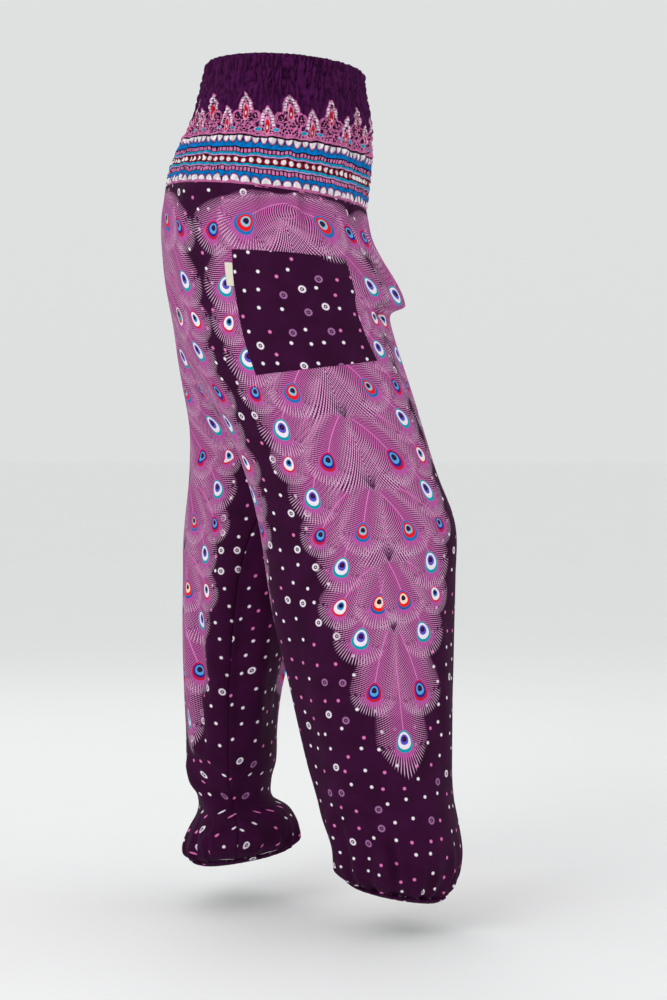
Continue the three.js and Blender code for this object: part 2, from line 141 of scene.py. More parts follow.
# Creases along a slanting line. leg; along and level of its upper end, then of its lower end; width; out
CREASES = (
    (RIGHT, 3, -158, -8, -215, 4.5, -3.2),
    (RIGHT, -50, -158, -56, -210, 4.5, -3.2),
    (RIGHT, 12, -160, 4, -230, 7, 2.2),
    (RIGHT, -40, -160, -47, -225, 7, 2.0),
    (RIGHT, -120, -170, -158, -262, 10, 4),
    (RIGHT, -150, -200, -185, -268, 8, -3),
    (RIGHT, 60, -170, 96, -300, 14, -3),
    (RIGHT, 110, -165, 150, -330, 16, 3),
    (RIGHT, -188, -284, -150, -287, 9, -11),
    (RIGHT, -30, -520, -62, -800, 22, -3),
    (RIGHT, 40, -500, 24, -860, 24, 2.5),
    (RIGHT, -95, -560, -104, -860, 18, 3.2),
    (RIGHT, 96, -600, 88, -880, 18, -4),
    (RIGHT, 70, -840, 64, -945, 7, -3.5),
    (RIGHT, 84, -850, 92, -950, 8, 3),
    (RIGHT, -12, -870, -20, -955, 9, -3),
    (RIGHT, 20, -880, 14, -962, 7, 5.5),
    (RIGHT, 8, -874, 3, -964, 5, -9),
    (RIGHT, -88, -880, -110, -955, 9, -3),
    (RIGHT, -130, -840, -142, -950, 9, 3),
    (RIGHT, 150, -640, 158, -900, 18, -4),
    (RIGHT, -170, -620, -190, -880, 18, -3.5),
    (RIGHT, 190, -700, 200, -940, 12, 4),
    (RIGHT, -220, -700, -230, -940, 12, 4),
    (LEFT, 3, -158, -8, -215, 4.5, -3.2),
    (LEFT, -50, -158, -56, -210, 4.5, -3.2),
    (LEFT, -120, -170, -160, -255, 10, 4),
    (LEFT, 60, -170, 92, -300, 14, -3),
    (LEFT, 110, -165, 146, -330, 16, 3),
    (LEFT, 20, -500, 10, -830, 20, -4),
    (LEFT, -60, -480, -80, -800, 20, 3),
    (LEFT, 75, -480, 100, -800, 16, 4),
    (LEFT, -150, -560, -160, -830, 16, -4),
    (LEFT, 150, -560, 140, -820, 14, -4),
    (LEFT, 185, -590, 172, -860, 11, 4.5),
    (LEFT, 200, -640, 190, -860, 8, -4),
    (LEFT, 160, -830, 120, -880, 12, 6),
    (LEFT, 128, -836, 90, -896, 8, -6),
    (LEFT, 200, -846, 160, -900, 9, -6),
    (LEFT, 220, -860, 190, -930, 8, 5),
    (LEFT, 150, -800, 252, -872, 9, 6),
    (LEFT, 162, -818, 258, -892, 7, -6),
    (LEFT, -262, -848, -190, -900, 9, 6),
    (LEFT, -258, -868, -180, -915, 7, -6),
    (LEFT, 190, -600, 215, -800, 14, -6),
    (LEFT, 228, -640, 236, -790, 9, 5),
    (LEFT, 60, -850, 40, -940, 9, -3),
    (LEFT, 10, -860, -6, -940, 9, 3),
    (LEFT, -60, -860, -84, -940, 9, -3),
    (LEFT, -140, -850, -170, -930, 9, 3),
)
# Creases that cross the inseam, placed by the distance past it towards the front
INSEAM_CREASES = (
    (LEFT, -64, -878, 60, -934, 9, 5.5),
    (LEFT, -56, -860, 66, -914, 8, -6.5),
    (LEFT, -40, -905, 40, -946, 7, -4),
    (LEFT, -32, -540, -24, -870, 13, 4.5),
    (LEFT, 8, -520, 12, -862, 14, -5.5),
    (LEFT, 44, -600, 38, -850, 12, 4),
)
SEAM_EASE = 40  # folds die out this near a seam
SEAM_GROOVE, GROOVE_WIDTH = 1.3, 2.5
CREASE_REACH = 60  # a crease is worked out only this far above and below its ends
CREASE_END = 0.35  # share of a crease's length over which each end fades
TUCK_TOP, TUCK_FADE = -175, 0.8  # creases that start above this level are tucks, and fade out downwards
HEM_CREASE, HEM_FADE = -925, 0.6  # creases that end below this level run on into the hem
SEAM_HOLD, SEAM_OPENING = 0.08, 7  # share of the folds left at the waist seam, full this far below it
PUCKER, PUCKER_FADE, PUCKER_LENGTH = 1.5, 16, 6.5  # small puckers at the waist seam
SLACK, SLACK_LENGTH, SLACK_HEIGHT = 2.6, 60, 120  # slow unevenness of the hanging cloth
# The front of the hips bags forward and hangs over itself above the right thigh
DRAPE_X, DRAPE_LEVEL, DRAPE_ACROSS, DRAPE_ABOVE, DRAPE_BELOW = -62, -266, 88, 44, 15
DRAPE_FORWARD, DRAPE_SAG = 25, 10
# Gathers that fade out upwards from each ankle casing
GATHER_DEPTH, GATHER_FADE, GATHERS = 3.2, 34, 18
POCKET_TOP = ((42, -231), (-97, -229))  # rear and front corners, as along and level
POCKET_BOTTOM = ((49, -371), (-114, -350))
# Line on the right leg that the side panel of the print is mirrored on
PRINT_AXIS_COLUMNS = ("level", "along")
PRINT_AXIS = (
    (-155, -20),
    (-220, -29),
    (-300, -35),
    (-420, -30),
    (-560, -32),
    (-960, -33),
)
# Middle lines of the feather panels on the flat cloth
PANEL_CENTRES = {RIGHT: (-222, 0, 244), LEFT: (-281, 39, 309)}
LEFT_PRINT_START = 144  # where the left leg's outermost line lies on its print
# The cloth in front of the right leg is drawn forward, so its print is stretched and leans
FRONT_STRETCH, STRETCH_LEVEL, STRETCH_REACH = 0.14, -290, 110
PRINT_LEAN, LEAN_END, LEAN_FADE = 0.08, 100, 80


def table(columns, rows):
    values = np.array(rows, dtype=float)
    return {name: values[:, k] for k, name in enumerate(columns)}


BAND = table(BAND_COLUMNS, BAND_SECTIONS)
LEGS = {RIGHT: table(LEG_COLUMNS, RIGHT_SECTIONS), LEFT: table(LEG_COLUMNS, LEFT_SECTIONS)}
SEAMS = table(CENTRE_SEAM_COLUMNS, CENTRE_SEAMS)
AXIS = table(PRINT_AXIS_COLUMNS, PRINT_AXIS)


def column(rows, key, level):
    """The value of a table's column at a level, on a smooth curve through its rows."""
    levels, values = rows["level"], rows[key]
    last = len(levels) - 1
    if level >= levels[0]:
        return values[0]
    if level <= levels[last]:
        return values[last]
    i = 0
    while levels[i + 1] > level:
        i += 1

    def slope(j):
        above, below = max(j - 1, 0), min(j + 1, last)
        return (values[below] - values[above]) / (levels[below] - levels[above])

    span = levels[i + 1] - levels[i]
    t = (level - levels[i]) / span
    return (
        values[i] * (1 + 2 * t) * (1 - t) ** 2
        + values[i + 1] * t * t * (3 - 2 * t)
        + slope(i) * span * t * (1 - t) ** 2
        + slope(i + 1) * span * t * t * (t - 1)
    )


def smooth(t):
    t = np.clip(t, 0, 1)
    return t * t * (3 - 2 * t)


def bell(distance, width):
    return np.exp(-((distance / width) ** 2))


def plane_of(rows, level):
    """The slanting plane of a section: its height at each y."""
    centre = (column(rows, "front", level) + column(rows, "back", level)) / 2
    rise = column(rows, "rise", level)
    return lambda y: level + rise * (y - centre)


HALF_STEPS = 180  # samples of half a section when its length is measured


class Section:
    """A section of a leg, seen from above; points are placed by their distance from the outermost line."""

    def __init__(self, side, level):
        rows = LEGS[side]
        outer, inner = column(rows, "outer", level), column(rows, "inner", level)
        front, back = column(rows, "front", level), column(rows, "back", level)
        middle, reach = (outer + inner) / 2, (outer - inner) / 2
        self.side, self.level = side, level
        self.centre, self.depth = (front + back) / 2, (back - front) / 2
        parted = level >= CROTCH_LEVEL
        end = math.acos(-min(max(middle / reach, -1), 1)) if parted else math.pi
        blend_start = max(end - SEAM_BLEND, math.pi / 2)
        angle = end * np.linspace(-1, 1, 2 * HALF_STEPS + 1)
        half = np.where(angle < 0, -1.0, 1.0)
        bend = smooth((np.abs(angle) - blend_start) / max(end - blend_start, 1e-6))
        if parted:
            seam = np.where(half < 0, column(SEAMS, "front", level), column(SEAMS, "back", level))
        else:
            seam = column(rows, "inseam", level)
        x = side * np.maximum(middle + reach * np.cos(angle), 0)
        y = self.centre + self.depth * np.sin(angle)
        y = y + bend * (seam - self.centre - half * self.depth * math.sin(end))
        steps = np.hypot(np.diff(x), np.diff(y))
        self.lengths = np.concatenate(([0], np.cumsum(steps)))
        self.lengths -= self.lengths[HALF_STEPS]
        self.front, self.back = self.lengths[0], self.lengths[-1]
        self.x, self.y = x, y
        self.middles = (self.lengths[1:] + self.lengths[:-1]) / 2
        self.out_x = side * np.diff(y) / steps
        self.out_y = -side * np.diff(x) / steps
        self.plane = plane_of(rows, level)

    def place(self, along):
        spot_x = np.interp(along, self.lengths, self.x)
        spot_y = np.interp(along, self.lengths, self.y)
        out_x = np.interp(along, self.middles, self.out_x)
        out_y = np.interp(along, self.middles, self.out_y)
        size = np.hypot(out_x, out_y)
        return spot_x, spot_y, out_x / size, out_y / size


def segment_distance(along, level, a0, l0, a1, l1):
    """Distance from a line between two points of the cloth, and the share of the way along it."""
    da, dl = a1 - a0, l1 - l0
    share = ((along - a0) * da + (level - l0) * dl) / (da * da + dl * dl)
    clipped = np.clip(share, 0, 1)
    return np.hypot(along - a0 - clipped * da, level - l0 - clipped * dl), share


def uneven(x, y, seed):
    return noise.noise(Vector((x, y, seed)))


def near_level(level, upper, lower):
    return min(upper, lower) - CREASE_REACH < level < max(upper, lower) + CREASE_REACH


def leg_folds(section, along, free):
    """How far the folds and creases push the cloth out."""
    side, level = section.side, section.level
    push = np.zeros_like(along)
    for leg, at, middle, across, above, below, out in FOLDS:
        if leg == side:
            up = level - middle
            push += out * free * bell(along - at, across) * bell(up, above if up > 0 else below)
    for leg, a0, l0, a1, l1, width, out in CREASES:
        if leg == side and near_level(level, l0, l1):
            gap, share = segment_distance(along, level, a0, l0, a1, l1)
            kept = np.clip(share, 0, 1)
            fade = smooth(kept / CREASE_END) * smooth((1 - kept) / CREASE_END)
            if l0 > TUCK_TOP:
                fade = smooth((1 - kept) / TUCK_FADE)
            if min(l0, l1) < HEM_CREASE:
                fade = smooth(kept / HEM_FADE)
            push += out * free * fade * bell(gap, width)
    past = np.where(along < 0, along - section.front, along - section.back)
    for leg, a0, l0, a1, l1, width, out in INSEAM_CREASES:
        if leg == side and near_level(level, l0, l1):
            gap, share = segment_distance(past, level, a0, l0, a1, l1)
            kept = np.clip(share, 0, 1)
            push += out * smooth(kept / CREASE_END) * smooth((1 - kept) / CREASE_END) * bell(gap, width)
    # the folds open out just under the waist seam, which holds the edge flat
    return push * (SEAM_HOLD + (1 - SEAM_HOLD) * smooth((WAIST_SEAM - level) / SEAM_OPENING))


def leg_gathers(section, along):
    """Uneven ripples over the ankle casing, fading out upwards."""
    side, level = section.side, section.level
    hem = LEGS[side]["level"][-1]
    turns = (along - section.front) / (section.back - section.front) * GATHERS
    ripple = np.array([uneven(t * 1.7, side * 3.0, 4.1) for t in turns])
    small = np.array([uneven(t * 4.3, level * 0.01, 9.3) for t in turns])
    hem_fade = bell(level - hem, GATHER_FADE * (1 + 0.5 * ripple))
    return GATHER_DEPTH * hem_fade * (np.cos(2 * math.pi * turns + 1.6 * ripple) + 1.1 * small)


def leg_points(section, along):
    """Points of a leg's outer face, in millimetres, and the way out there."""
    side, level = section.side, section.level
    along = np.asarray(along, dtype=float)
    spot_x, spot_y, out_x, out_y = section.place(along)
    to_seam = np.minimum(along - section.front, section.back - along)
    free = smooth(to_seam / SEAM_EASE)
    push = leg_folds(section, along, free)
    push += free * leg_gathers(section, along)
    at_seam = bell(level - WAIST_SEAM, PUCKER_FADE)
    push += PUCKER * at_seam * np.array([uneven(a / PUCKER_LENGTH, side * 2.0, 1.7) for a in along])
    soft = np.array([uneven(a / SLACK_LENGTH, level / SLACK_HEIGHT, 5.0 + side) for a in along])
    push += SLACK * free * soft * smooth((WAIST_SEAM - level) / SLACK_LENGTH)
    push -= SEAM_GROOVE * bell(to_seam, GROOVE_WIDTH)
    x, y = spot_x + out_x * push, spot_y + out_y * push
    frontness = np.maximum((section.centre - y) / section.depth, 0) ** 1.5
    up = level - DRAPE_LEVEL
    drape = frontness * bell(x - DRAPE_X, DRAPE_ACROSS) * bell(up, DRAPE_ABOVE if up > 0 else DRAPE_BELOW)
    points = np.stack((x, y - DRAPE_FORWARD * drape, section.plane(spot_y) - DRAPE_SAG * drape), axis=-1)
    return points, out_x, out_y


def print_spot(side, along, level):
    """Spot on the flat cloth: across from the print's middle line, and down from the waist seam."""
    if side == LEFT:
        return along + LEFT_PRINT_START, WAIST_SEAM - level
    across = along - np.interp(-level, -AXIS["level"], AXIS["along"])
    stretch = 1 - FRONT_STRETCH * bell(level - STRETCH_LEVEL, STRETCH_REACH)
    across = np.where(across < 0, across * stretch, across)
    lean = PRINT_LEAN * across * (1 - smooth((np.abs(across) - LEAN_END) / LEAN_FADE))
    return across, WAIST_SEAM - level - lean


JOIN_DISTANCE = 0.00002


def grid_piece(name, across, down, place, joined=False):
    """A sheet: a grid moved to its place, its two sides joined where it goes all the way round.

    place gives each point, its spot on the flat cloth and, where it has any, how deep in a valley it lies.
    """
    points, cloth, *valleys = place(across, down)
    bm = bmesh.new()
    flat = bm.loops.layers.uv.new("flat cloth")
    dip = bm.verts.layers.float.new("valley") if valleys else None
    bmesh.ops.create_grid(bm, x_segments=across, y_segments=down, size=0.5)
    shares = {v: (round((v.co.x + 0.5) * across), round((0.5 - v.co.y) * down)) for v in bm.verts}
    for face in bm.faces:
        for loop in face.loops:
            i, j = shares[loop.vert]
            loop[flat].uv = (cloth[j, i, 0] * METRES, cloth[j, i, 1] * METRES)
    for vert, (i, j) in shares.items():
        vert.co = Vector(points[j, i] * METRES)
        if valleys:
            vert[dip] = valleys[0][j, i]
    if joined:
        rim = [v for v in bm.verts if shares[v][0] in (0, across)]
        bmesh.ops.remove_doubles(bm, verts=rim, dist=JOIN_DISTANCE)
    mesh = bpy.data.meshes.new(name)
    bm.to_mesh(mesh)
    bm.free()
    for polygon in mesh.polygons:
        polygon.use_smooth = True
    piece = bpy.data.objects.new(name, mesh)
    bpy.context.scene.collection.objects.link(piece)
    return piece


def face_out(piece, inside):
    """Turns the sheet's faces away from a point inside the garment, judged over the whole sheet."""
    bm = bmesh.new()
    bm.from_mesh(piece.data)
    bm.normal_update()
    facing = 0
    for face in bm.faces:
        middle = face.calc_center_median()
        facing += face.normal.dot(middle - inside(middle)) * face.calc_area()
    if facing < 0:
        bmesh.ops.reverse_faces(bm, faces=bm.faces)
    bm.to_mesh(piece.data)
    bm.free()


def thicken(piece, thickness):
    """Gives the sheet its thickness, inwards from its outer face."""
    wall = piece.modifiers.new("cloth thickness", "SOLIDIFY")
    wall.thickness = thickness
    wall.offset = -1
    wall.use_even_offset = False


# Legs
LEG_GRID = (212, 212)
NOSE_LEVEL = -275  # where the cloth folds over itself in front


def leg_levels(side, down):
    """Levels of a leg's rows, closer together at the nose fold and over the ankle."""
    hem = LEGS[side]["level"][-1]
    level = np.linspace(WAIST_SEAM, hem, 2000)
    density = 1 + 1.6 * bell(level - NOSE_LEVEL, 26) + bell(level - hem, 45)
    total = np.concatenate(([0], np.cumsum((density[1:] + density[:-1]) / 2)))
    levels = np.interp(np.linspace(0, total[-1], down + 1), total, level)
    levels[np.argmin(np.abs(levels - CROTCH_LEVEL))] = CROTCH_LEVEL
    return levels


def place_leg(side):
    def place(across, down):
        points = np.zeros((down + 1, across + 1, 3))
        cloth = np.zeros((down + 1, across + 1, 2))
        levels = leg_levels(side, down)
        for j, level in enumerate(levels):
            section = Section(side, level)
            along = np.linspace(section.front, section.back, across + 1)
            points[j] = leg_points(section, along)[0]
            if level >= CROTCH_LEVEL:
                points[j, (0, -1), 0] = 0
            cloth[j, :, 0], cloth[j, :, 1] = print_spot(side, along, level)
        points[0, :, 2] = plane_of(LEGS[side], WAIST_SEAM)(points[0, :, 1])
        return points, cloth

    return place


def make_leg(name, side):
    leg = grid_piece(name, *LEG_GRID, place_leg(side), joined=True)
    middle_y = {RIGHT: -0.05, LEFT: 0.05}[side]
    face_out(leg, lambda p: Vector((side * 0.09, middle_y, p.z)))
    thicken(leg, CLOTH)
    return leg


right_leg = make_leg("right_leg_cloth", RIGHT)
left_leg = make_leg("left_leg_cloth", LEFT)

# Waistband
ELASTIC_ROWS = 16
BAND_GRID = (600, 80)
BAND_TUCK = 1.5  # this much of the lower edge is tucked inside the legs' seam
CRINKLE_TURNS = 24  # how fine the crinkles are round the band
CREASE_SHARPNESS, FINE_SHARPNESS = 0.26, 0.16  # smaller is sharper
PRINT_START, PRINT_DRIFT = 9.5, 0.17  # where the border's repeat starts, and how it drifts on the way down
PRINT_LEVELS = ((0, 98, 155), (-5, 93, 155.5))  # depths on the band, and where the border print has them


def place_band(across, down):
    points = np.zeros((down + 1, across + 1, 3))
    cloth = np.zeros((down + 1, across + 1, 2))
    valleys = np.zeros((down + 1, across + 1))
    for j in range(down + 1):
        level = (WAIST_SEAM - BAND_TUCK) * j / down
        half = column(BAND, "half", level)
        front, back = column(BAND, "front", level), column(BAND, "back", level)
        centre, depth = (front + back) / 2, (back - front) / 2
        # from the middle of the back, over the right side, the front and the left side
        angle = np.linspace(0.5 * math.pi, 2.5 * math.pi, across + 1)
        x, y = half * np.cos(angle), centre + depth * np.sin(angle)
        steps = np.hypot(np.diff(x), np.diff(y))
        length = np.concatenate(([0], np.cumsum(steps)))
        length -= length[across // 4]
        out_x, out_y = np.cos(angle) / half, np.sin(angle) / depth
        size = np.hypot(out_x, out_y)
        row = level / WAIST_SEAM * ELASTIC_ROWS
        between = abs(math.sin(math.pi * row)) ** 0.7
        top = math.exp(-max(-level - 40, 0) / 30)  # the shirring is tightest near the rim
        deep = 1.5 + 1.9 * top
        push = np.zeros(across + 1)
        wander = np.zeros(across + 1)
        valley = np.zeros(across + 1)
        for i in range(across + 1):
            place_x, place_y = math.cos(angle[i]) * CRINKLE_TURNS, math.sin(angle[i]) * CRINKLE_TURNS
            ridge = noise.noise(Vector((place_x * 1.05, place_y * 1.05, level / 17)))
            fine = noise.noise(Vector((place_x * 2.2 + 7, place_y * 2.2, level / 6)))
            slow = noise.noise(Vector((place_x * 0.2, place_y * 0.2, level / 40 + 3)))
            crease = max(0.0, 1 - abs(ridge) / CREASE_SHARPNESS)
            second = max(0.0, 1 - abs(fine) / FINE_SHARPNESS)
            # how deep this point lies in a crease; the border's colour is darkened by it as painted shade
            valley[i] = min(1.0, crease + 0.5 * second) * (0.45 + 0.55 * top)
            push[i] = between * (1.6 + 1.4 * slow) + 2.0 * ridge - deep * crease - 0.45 * deep * second + 0.8
            wander[i] = 2.4 * noise.noise(Vector((place_x * 0.55, place_y * 0.55, level / 22 + 9)))
        push *= 1 - 0.85 * math.exp(-(((level - WAIST_SEAM) / 4) ** 2))  # held flat by the seam
        points[j, :, 0] = x + out_x / size * push
        points[j, :, 1] = y + out_y / size * push
        points[j, :, 2] = plane_of(BAND, level)(y)
        cloth[j, :, 0] = PRINT_START + PRINT_DRIFT * (-level - 45) - length
        cloth[j, :, 1] = np.interp(-level, *PRINT_LEVELS) + wander
        valleys[j] = valley
    points[:, across] = points[:, 0]
    valleys[:, across] = valleys[:, 0]
    return points, cloth, valleys


waistband = grid_piece("shirred_waistband", *BAND_GRID, place_band, joined=True)
face_out(waistband, lambda p: Vector((0, 0.01, p.z)))
thicken(waistband, CLOTH)

# Ankle casings
CASING_DROP, CASING_TUCK = 7, 8  # height of a casing, and how far it draws in
CASING_LENGTH = 12  # from edge to edge along the cloth
CASING_WALL = 0.0016
CASING_GRID = (360, 14)


def place_casing(side):
    def place(across, down):
        hem = LEGS[side]["level"][-1]
        section = Section(side, hem)
        along = np.linspace(section.front, section.back, across + 1)
        rim = leg_points(section, along)[0]
        spot_x, spot_y, out_x, out_y = section.place(along)
        start = (rim[:, 0] - spot_x) * out_x + (rim[:, 1] - spot_y) * out_y
        turns = np.linspace(0, 1, across + 1)
        angles = 2 * math.pi * turns
        ring = [Vector((math.cos(a) * 9, math.sin(a) * 9, side * 5.0)) for a in angles]
        pucker = np.array([noise.noise(p) for p in ring])
        fine = np.array([noise.noise(p * 2.3) for p in ring])
        points = np.zeros((down + 1, across + 1, 3))
        cloth = np.zeros((down + 1, across + 1, 2))
        for j in range(down + 1):
            share = j / down
            swell = 1.6 * math.sin(math.pi * share) ** 0.8
            push = start * (1 - smooth(share * 1.6)) - CASING_TUCK * share * share + swell
            push = push + (2.0 * pucker + 1.0 * fine) * math.sin(math.pi * (0.15 + 0.7 * share))
            points[j, :, 0] = spot_x + out_x * push
            points[j, :, 1] = spot_y + out_y * push
            points[j, :, 2] = section.plane(spot_y) - CASING_DROP * share
            cloth[j, :, 0] = along
            cloth[j, :, 1] = WAIST_SEAM - hem + CASING_LENGTH * share
        points[:, across] = points[:, 0]
        return points, cloth

    return place


def make_casing(name, side):
    casing = grid_piece(name, *CASING_GRID, place_casing(side), joined=True)
    middle_y = {RIGHT: -0.133, LEFT: 0.057}[side]
    face_out(casing, lambda p: Vector((side * 0.095, middle_y, p.z)))
    thicken(casing, CASING_WALL)
    return casing


right_casing = make_casing("right_ankle_hem", RIGHT)
left_casing = make_casing("left_ankle_hem", LEFT)

# Pocket and blank tab
POCKET_WALL, POCKET_WIDTH, POCKET_HEIGHT = 0.0011, 140, 135
POCKET_PRINT_SHIFT = 8  # the pocket's cloth was cut this much higher on the print
TAB_WALL, TAB_WIDTH, TAB_TOP, TAB_LENGTH, TAB_GAP = 0.0007, 9.5, -246, 26, 0.3


def pocket_spot(u, v):
    """u from the front edge to the rear edge, v from the top to the bottom."""
    fore = [POCKET_TOP[1][k] * (1 - v) + POCKET_BOTTOM[1][k] * v for k in range(2)]
    rear = [POCKET_TOP[0][k] * (1 - v) + POCKET_BOTTOM[0][k] * v for k in range(2)]
    return fore[0] * (1 - u) + rear[0] * u, fore[1] * (1 - u) + rear[1] * u


def on_leg(along, level, height):
    section = Section(RIGHT, level)
    points, out_x, out_y = leg_points(section, [along])
    return points[0] + np.array((out_x[0] * height, out_y[0] * height, 0))


def place_pocket(across, down):
    points = np.zeros((down + 1, across + 1, 3))
    cloth = np.zeros((down + 1, across + 1, 2))
    for j in range(down + 1):
        for i in range(across + 1):
            u, v = i / across, j / down
            along, level = pocket_spot(u, v)
            edge = min(u * POCKET_WIDTH, (1 - u) * POCKET_WIDTH, (1 - v) * POCKET_HEIGHT)
            sewn = math.exp(-((edge / 2.2) ** 2))
            stitched = math.exp(-(((edge - 4.5) / 1.4) ** 2))
            mouth = math.exp(-(((v * POCKET_HEIGHT - 16) / 1.6) ** 2))  # the stitched turning
            gape = 2.5 * math.sin(math.pi * u) * (1 - v) ** 2
            height = 2.1 + gape - 1.2 * sewn - 0.35 * stitched - 0.4 * mouth
            height += 0.9 * uneven(along / 30, level / 38, 12.0) * smooth(edge / 14)
            points[j, i] = on_leg(along, level, height)
            cloth_across, cloth_down = print_spot(RIGHT, along, level)
            cloth[j, i] = (cloth_across, cloth_down - POCKET_PRINT_SHIFT)
    return points, cloth


pocket = grid_piece("side_pocket_cloth", 84, 84, place_pocket)
face_out(pocket, lambda p: Vector((-0.05, -0.03, p.z)))
thicken(pocket, POCKET_WALL)


def place_tab(across, down):
    points = np.zeros((down + 1, across + 1, 3))
    cloth = np.zeros((down + 1, across + 1, 2))
    for j in range(down + 1):
        for i in range(across + 1):
            u, v = i / across, j / down
            level = TAB_TOP - TAB_LENGTH * v
            drop = (POCKET_TOP[0][1] - level) / (POCKET_TOP[0][1] - POCKET_BOTTOM[0][1])
            edge = POCKET_TOP[0][0] * (1 - drop) + POCKET_BOTTOM[0][0] * drop
            height = 1.5 + 0.9 * math.sin(math.pi * u) + 0.5 * u * math.cos(2.4 * v)
            points[j, i] = on_leg(edge + TAB_GAP + TAB_WIDTH * u, level, height)
            cloth[j, i] = (TAB_WIDTH * u, TAB_LENGTH * v)
    return points, cloth


tab = grid_piece("pocket_side_tab", 20, 40, place_tab)
face_out(tab, lambda p: Vector((-0.05, -0.03, p.z)))
thicken(tab, TAB_WALL)

# Layout of the print on the flat cloth, in millimetres
# A feather panel: distance from the waist seam, half width there
PANEL_DOWN = (0, 40, 350, 470, 580, 645, 700)
PANEL_HALF = (130, 145, 120, 83, 56, 20, 0)
# Nodes on the panel's middle line, where the stems of a tier of plumes part
NODE_FIRST, NODE_STEP, NODE_COUNT = -55, 80, 8
# Kinds of eye, named by their main colours from the outside in
SCHEME = {"teal": 0, "small red": 1, "blue red": 2, "white red": 3, "red blue": 4, "blue cream": 5}
INNER_EYES = (
    "red blue", "blue red", "white red", "blue red", "red blue", "blue red", "blue cream", "red blue"
)
LAST_INNER = {6: 15.5, 7: 29}  # how far across the inner eyes of the last two nodes lie
# The plumes of a tier: distance of the eye below the node, size
TIER = (("outer", 84, 9.9), ("side", 45, 8.0), ("inner", 46, 9.2))
LAST_DOWN = 68  # the same distance at the last node
# Plumes under the waist seam: eye across and down, size, scheme, reach of the stem
TOP_PLUMES = ((48, 41, 11.5, "blue red", 57), (93, 47, 9.5, "red blue", 64))
TOP_TURN = 0.75
LAST_PLUME = (0, 630, 0, 10.4, SCHEME["teal"], 122)


def plume_list():
    """Plumes of one panel, the lowest in the stack first.

    A plume is its eye across and down, its turn, its size, its scheme and the reach of its stem.
    """
    plumes = []
    for k in range(1, NODE_COUNT):
        node = NODE_FIRST + NODE_STEP * k
        last = k == NODE_COUNT - 1
        for part, down, size in TIER:
            if (last and part != "inner") or (k == 1 and part != "outer"):
                continue
            down = LAST_DOWN if last else down
            half = float(np.interp(node + down, PANEL_DOWN, PANEL_HALF))
            # how far across an eye lies goes by the panel's half width there
            if part == "outer":
                across, scheme = 0.62 * half * (half / 126) ** 0.3, "teal"
            elif part == "side":
                across, scheme = 0.71 * half, "red blue" if k % 2 else "small red"
            else:
                across, scheme = 0.36 * half * (half / 129) ** 1.9, INNER_EYES[k]
            across = LAST_INNER.get(k, across) if part == "inner" else across
            for hand in (-1, 1):
                root = 0.4 * across if part == "side" else 0
                nudge = math.sin(k * 5.1 + hand * 1.7 + down)
                turn = math.atan2(hand * (across - root), down) * 0.62 + 0.06 * nudge
                reach = math.hypot(across - root, down)
                eye = (hand * across, node + down + 2 * nudge)
                plumes.append((*eye, turn, size * (1 + 0.05 * nudge), SCHEME[scheme], reach))
    for across, down, size, scheme, reach in TOP_PLUMES:
        for hand in (-1, 1):
            plumes.append((hand * across, down, hand * TOP_TURN, size, SCHEME[scheme], reach))
    plumes.append(LAST_PLUME)
    return sorted(plumes, key=lambda plume: -plume[1])


PLUMES = {
    side: [(across + centre, *rest) for across, *rest in plume_list() for centre in centres]
    for side, centres in PANEL_CENTRES.items()
}
LAYERS = 5  # at most this many plumes lie over one another
STEM_BEND = 0.6
VANE_HALF = 3.1  # half width of a plume, in sizes of its eye
TIP, LAST_TIP = 3.05, 4.15  # length of its fringe below the eye's middle, and of the last plume's, in sizes
MARGIN = 4  # millimetres round a plume in which a face still carries it
NO_PLUME = (9999, 9999, 0, 9, 0, 50)  # far off the cloth


def lay_print(piece, plumes, centres):
    """Writes on each face the plumes that may show there, the uppermost last."""
    mesh = piece.data
    uv = np.zeros(len(mesh.loops) * 2)
    mesh.uv_layers["flat cloth"].data.foreach_get("uv", uv)
    uv = uv.reshape(-1, 2) * 1000
    starts = np.zeros(len(mesh.polygons), dtype=int)
    mesh.polygons.foreach_get("loop_start", starts)
    centre = (uv[starts] + uv[starts + 2]) / 2
    rank = np.full((len(centre), LAYERS), -1)
    for index, (across, down, turn, size, scheme, reach) in enumerate(plumes):
        dx, dy = centre[:, 0] - across, centre[:, 1] - down
        x = dx * math.cos(turn) - dy * math.sin(turn)
        y = dx * math.sin(turn) + dy * math.cos(turn)
        x = x + STEM_BEND * turn * np.minimum(y, 0) ** 2 / reach
        tip = TIP if turn else LAST_TIP
        beside = np.abs(x) < size * VANE_HALF + MARGIN
        above, below = y > -reach - MARGIN, y < size * (tip + 0.15) + MARGIN
        near = beside & above & below
        rank[near] = np.concatenate((rank[near][:, 1:], np.full((near.sum(), 1), index)), axis=1)
    values = np.array([*plumes, NO_PLUME], dtype=float)
    nearest = np.argmin([np.abs(centre[:, 0] - middle) for middle in centres], axis=0)
    stored = mesh.attributes.new("panel middle", "FLOAT", "FACE")
    stored.data.foreach_set("value", np.array(centres)[nearest].astype(np.float32))
    for layer in range(LAYERS):
        chosen = values[rank[:, layer]]
        for part, facts in (("place", chosen[:, :3]), ("kind", chosen[:, 3:])):
            stored = mesh.attributes.new(f"plume {layer} {part}", "FLOAT_VECTOR", "FACE")
            stored.data.foreach_set("vector", facts.astype(np.float32).ravel())


lay_print(right_leg, PLUMES[RIGHT], PANEL_CENTRES[RIGHT])
lay_print(left_leg, PLUMES[LEFT], PANEL_CENTRES[LEFT])
pocket_plumes = [plume for plume in PLUMES[RIGHT] if -70 < plume[0] < -20 and plume[1] < 60]
lay_print(pocket, pocket_plumes, PANEL_CENTRES[RIGHT])

# Materials


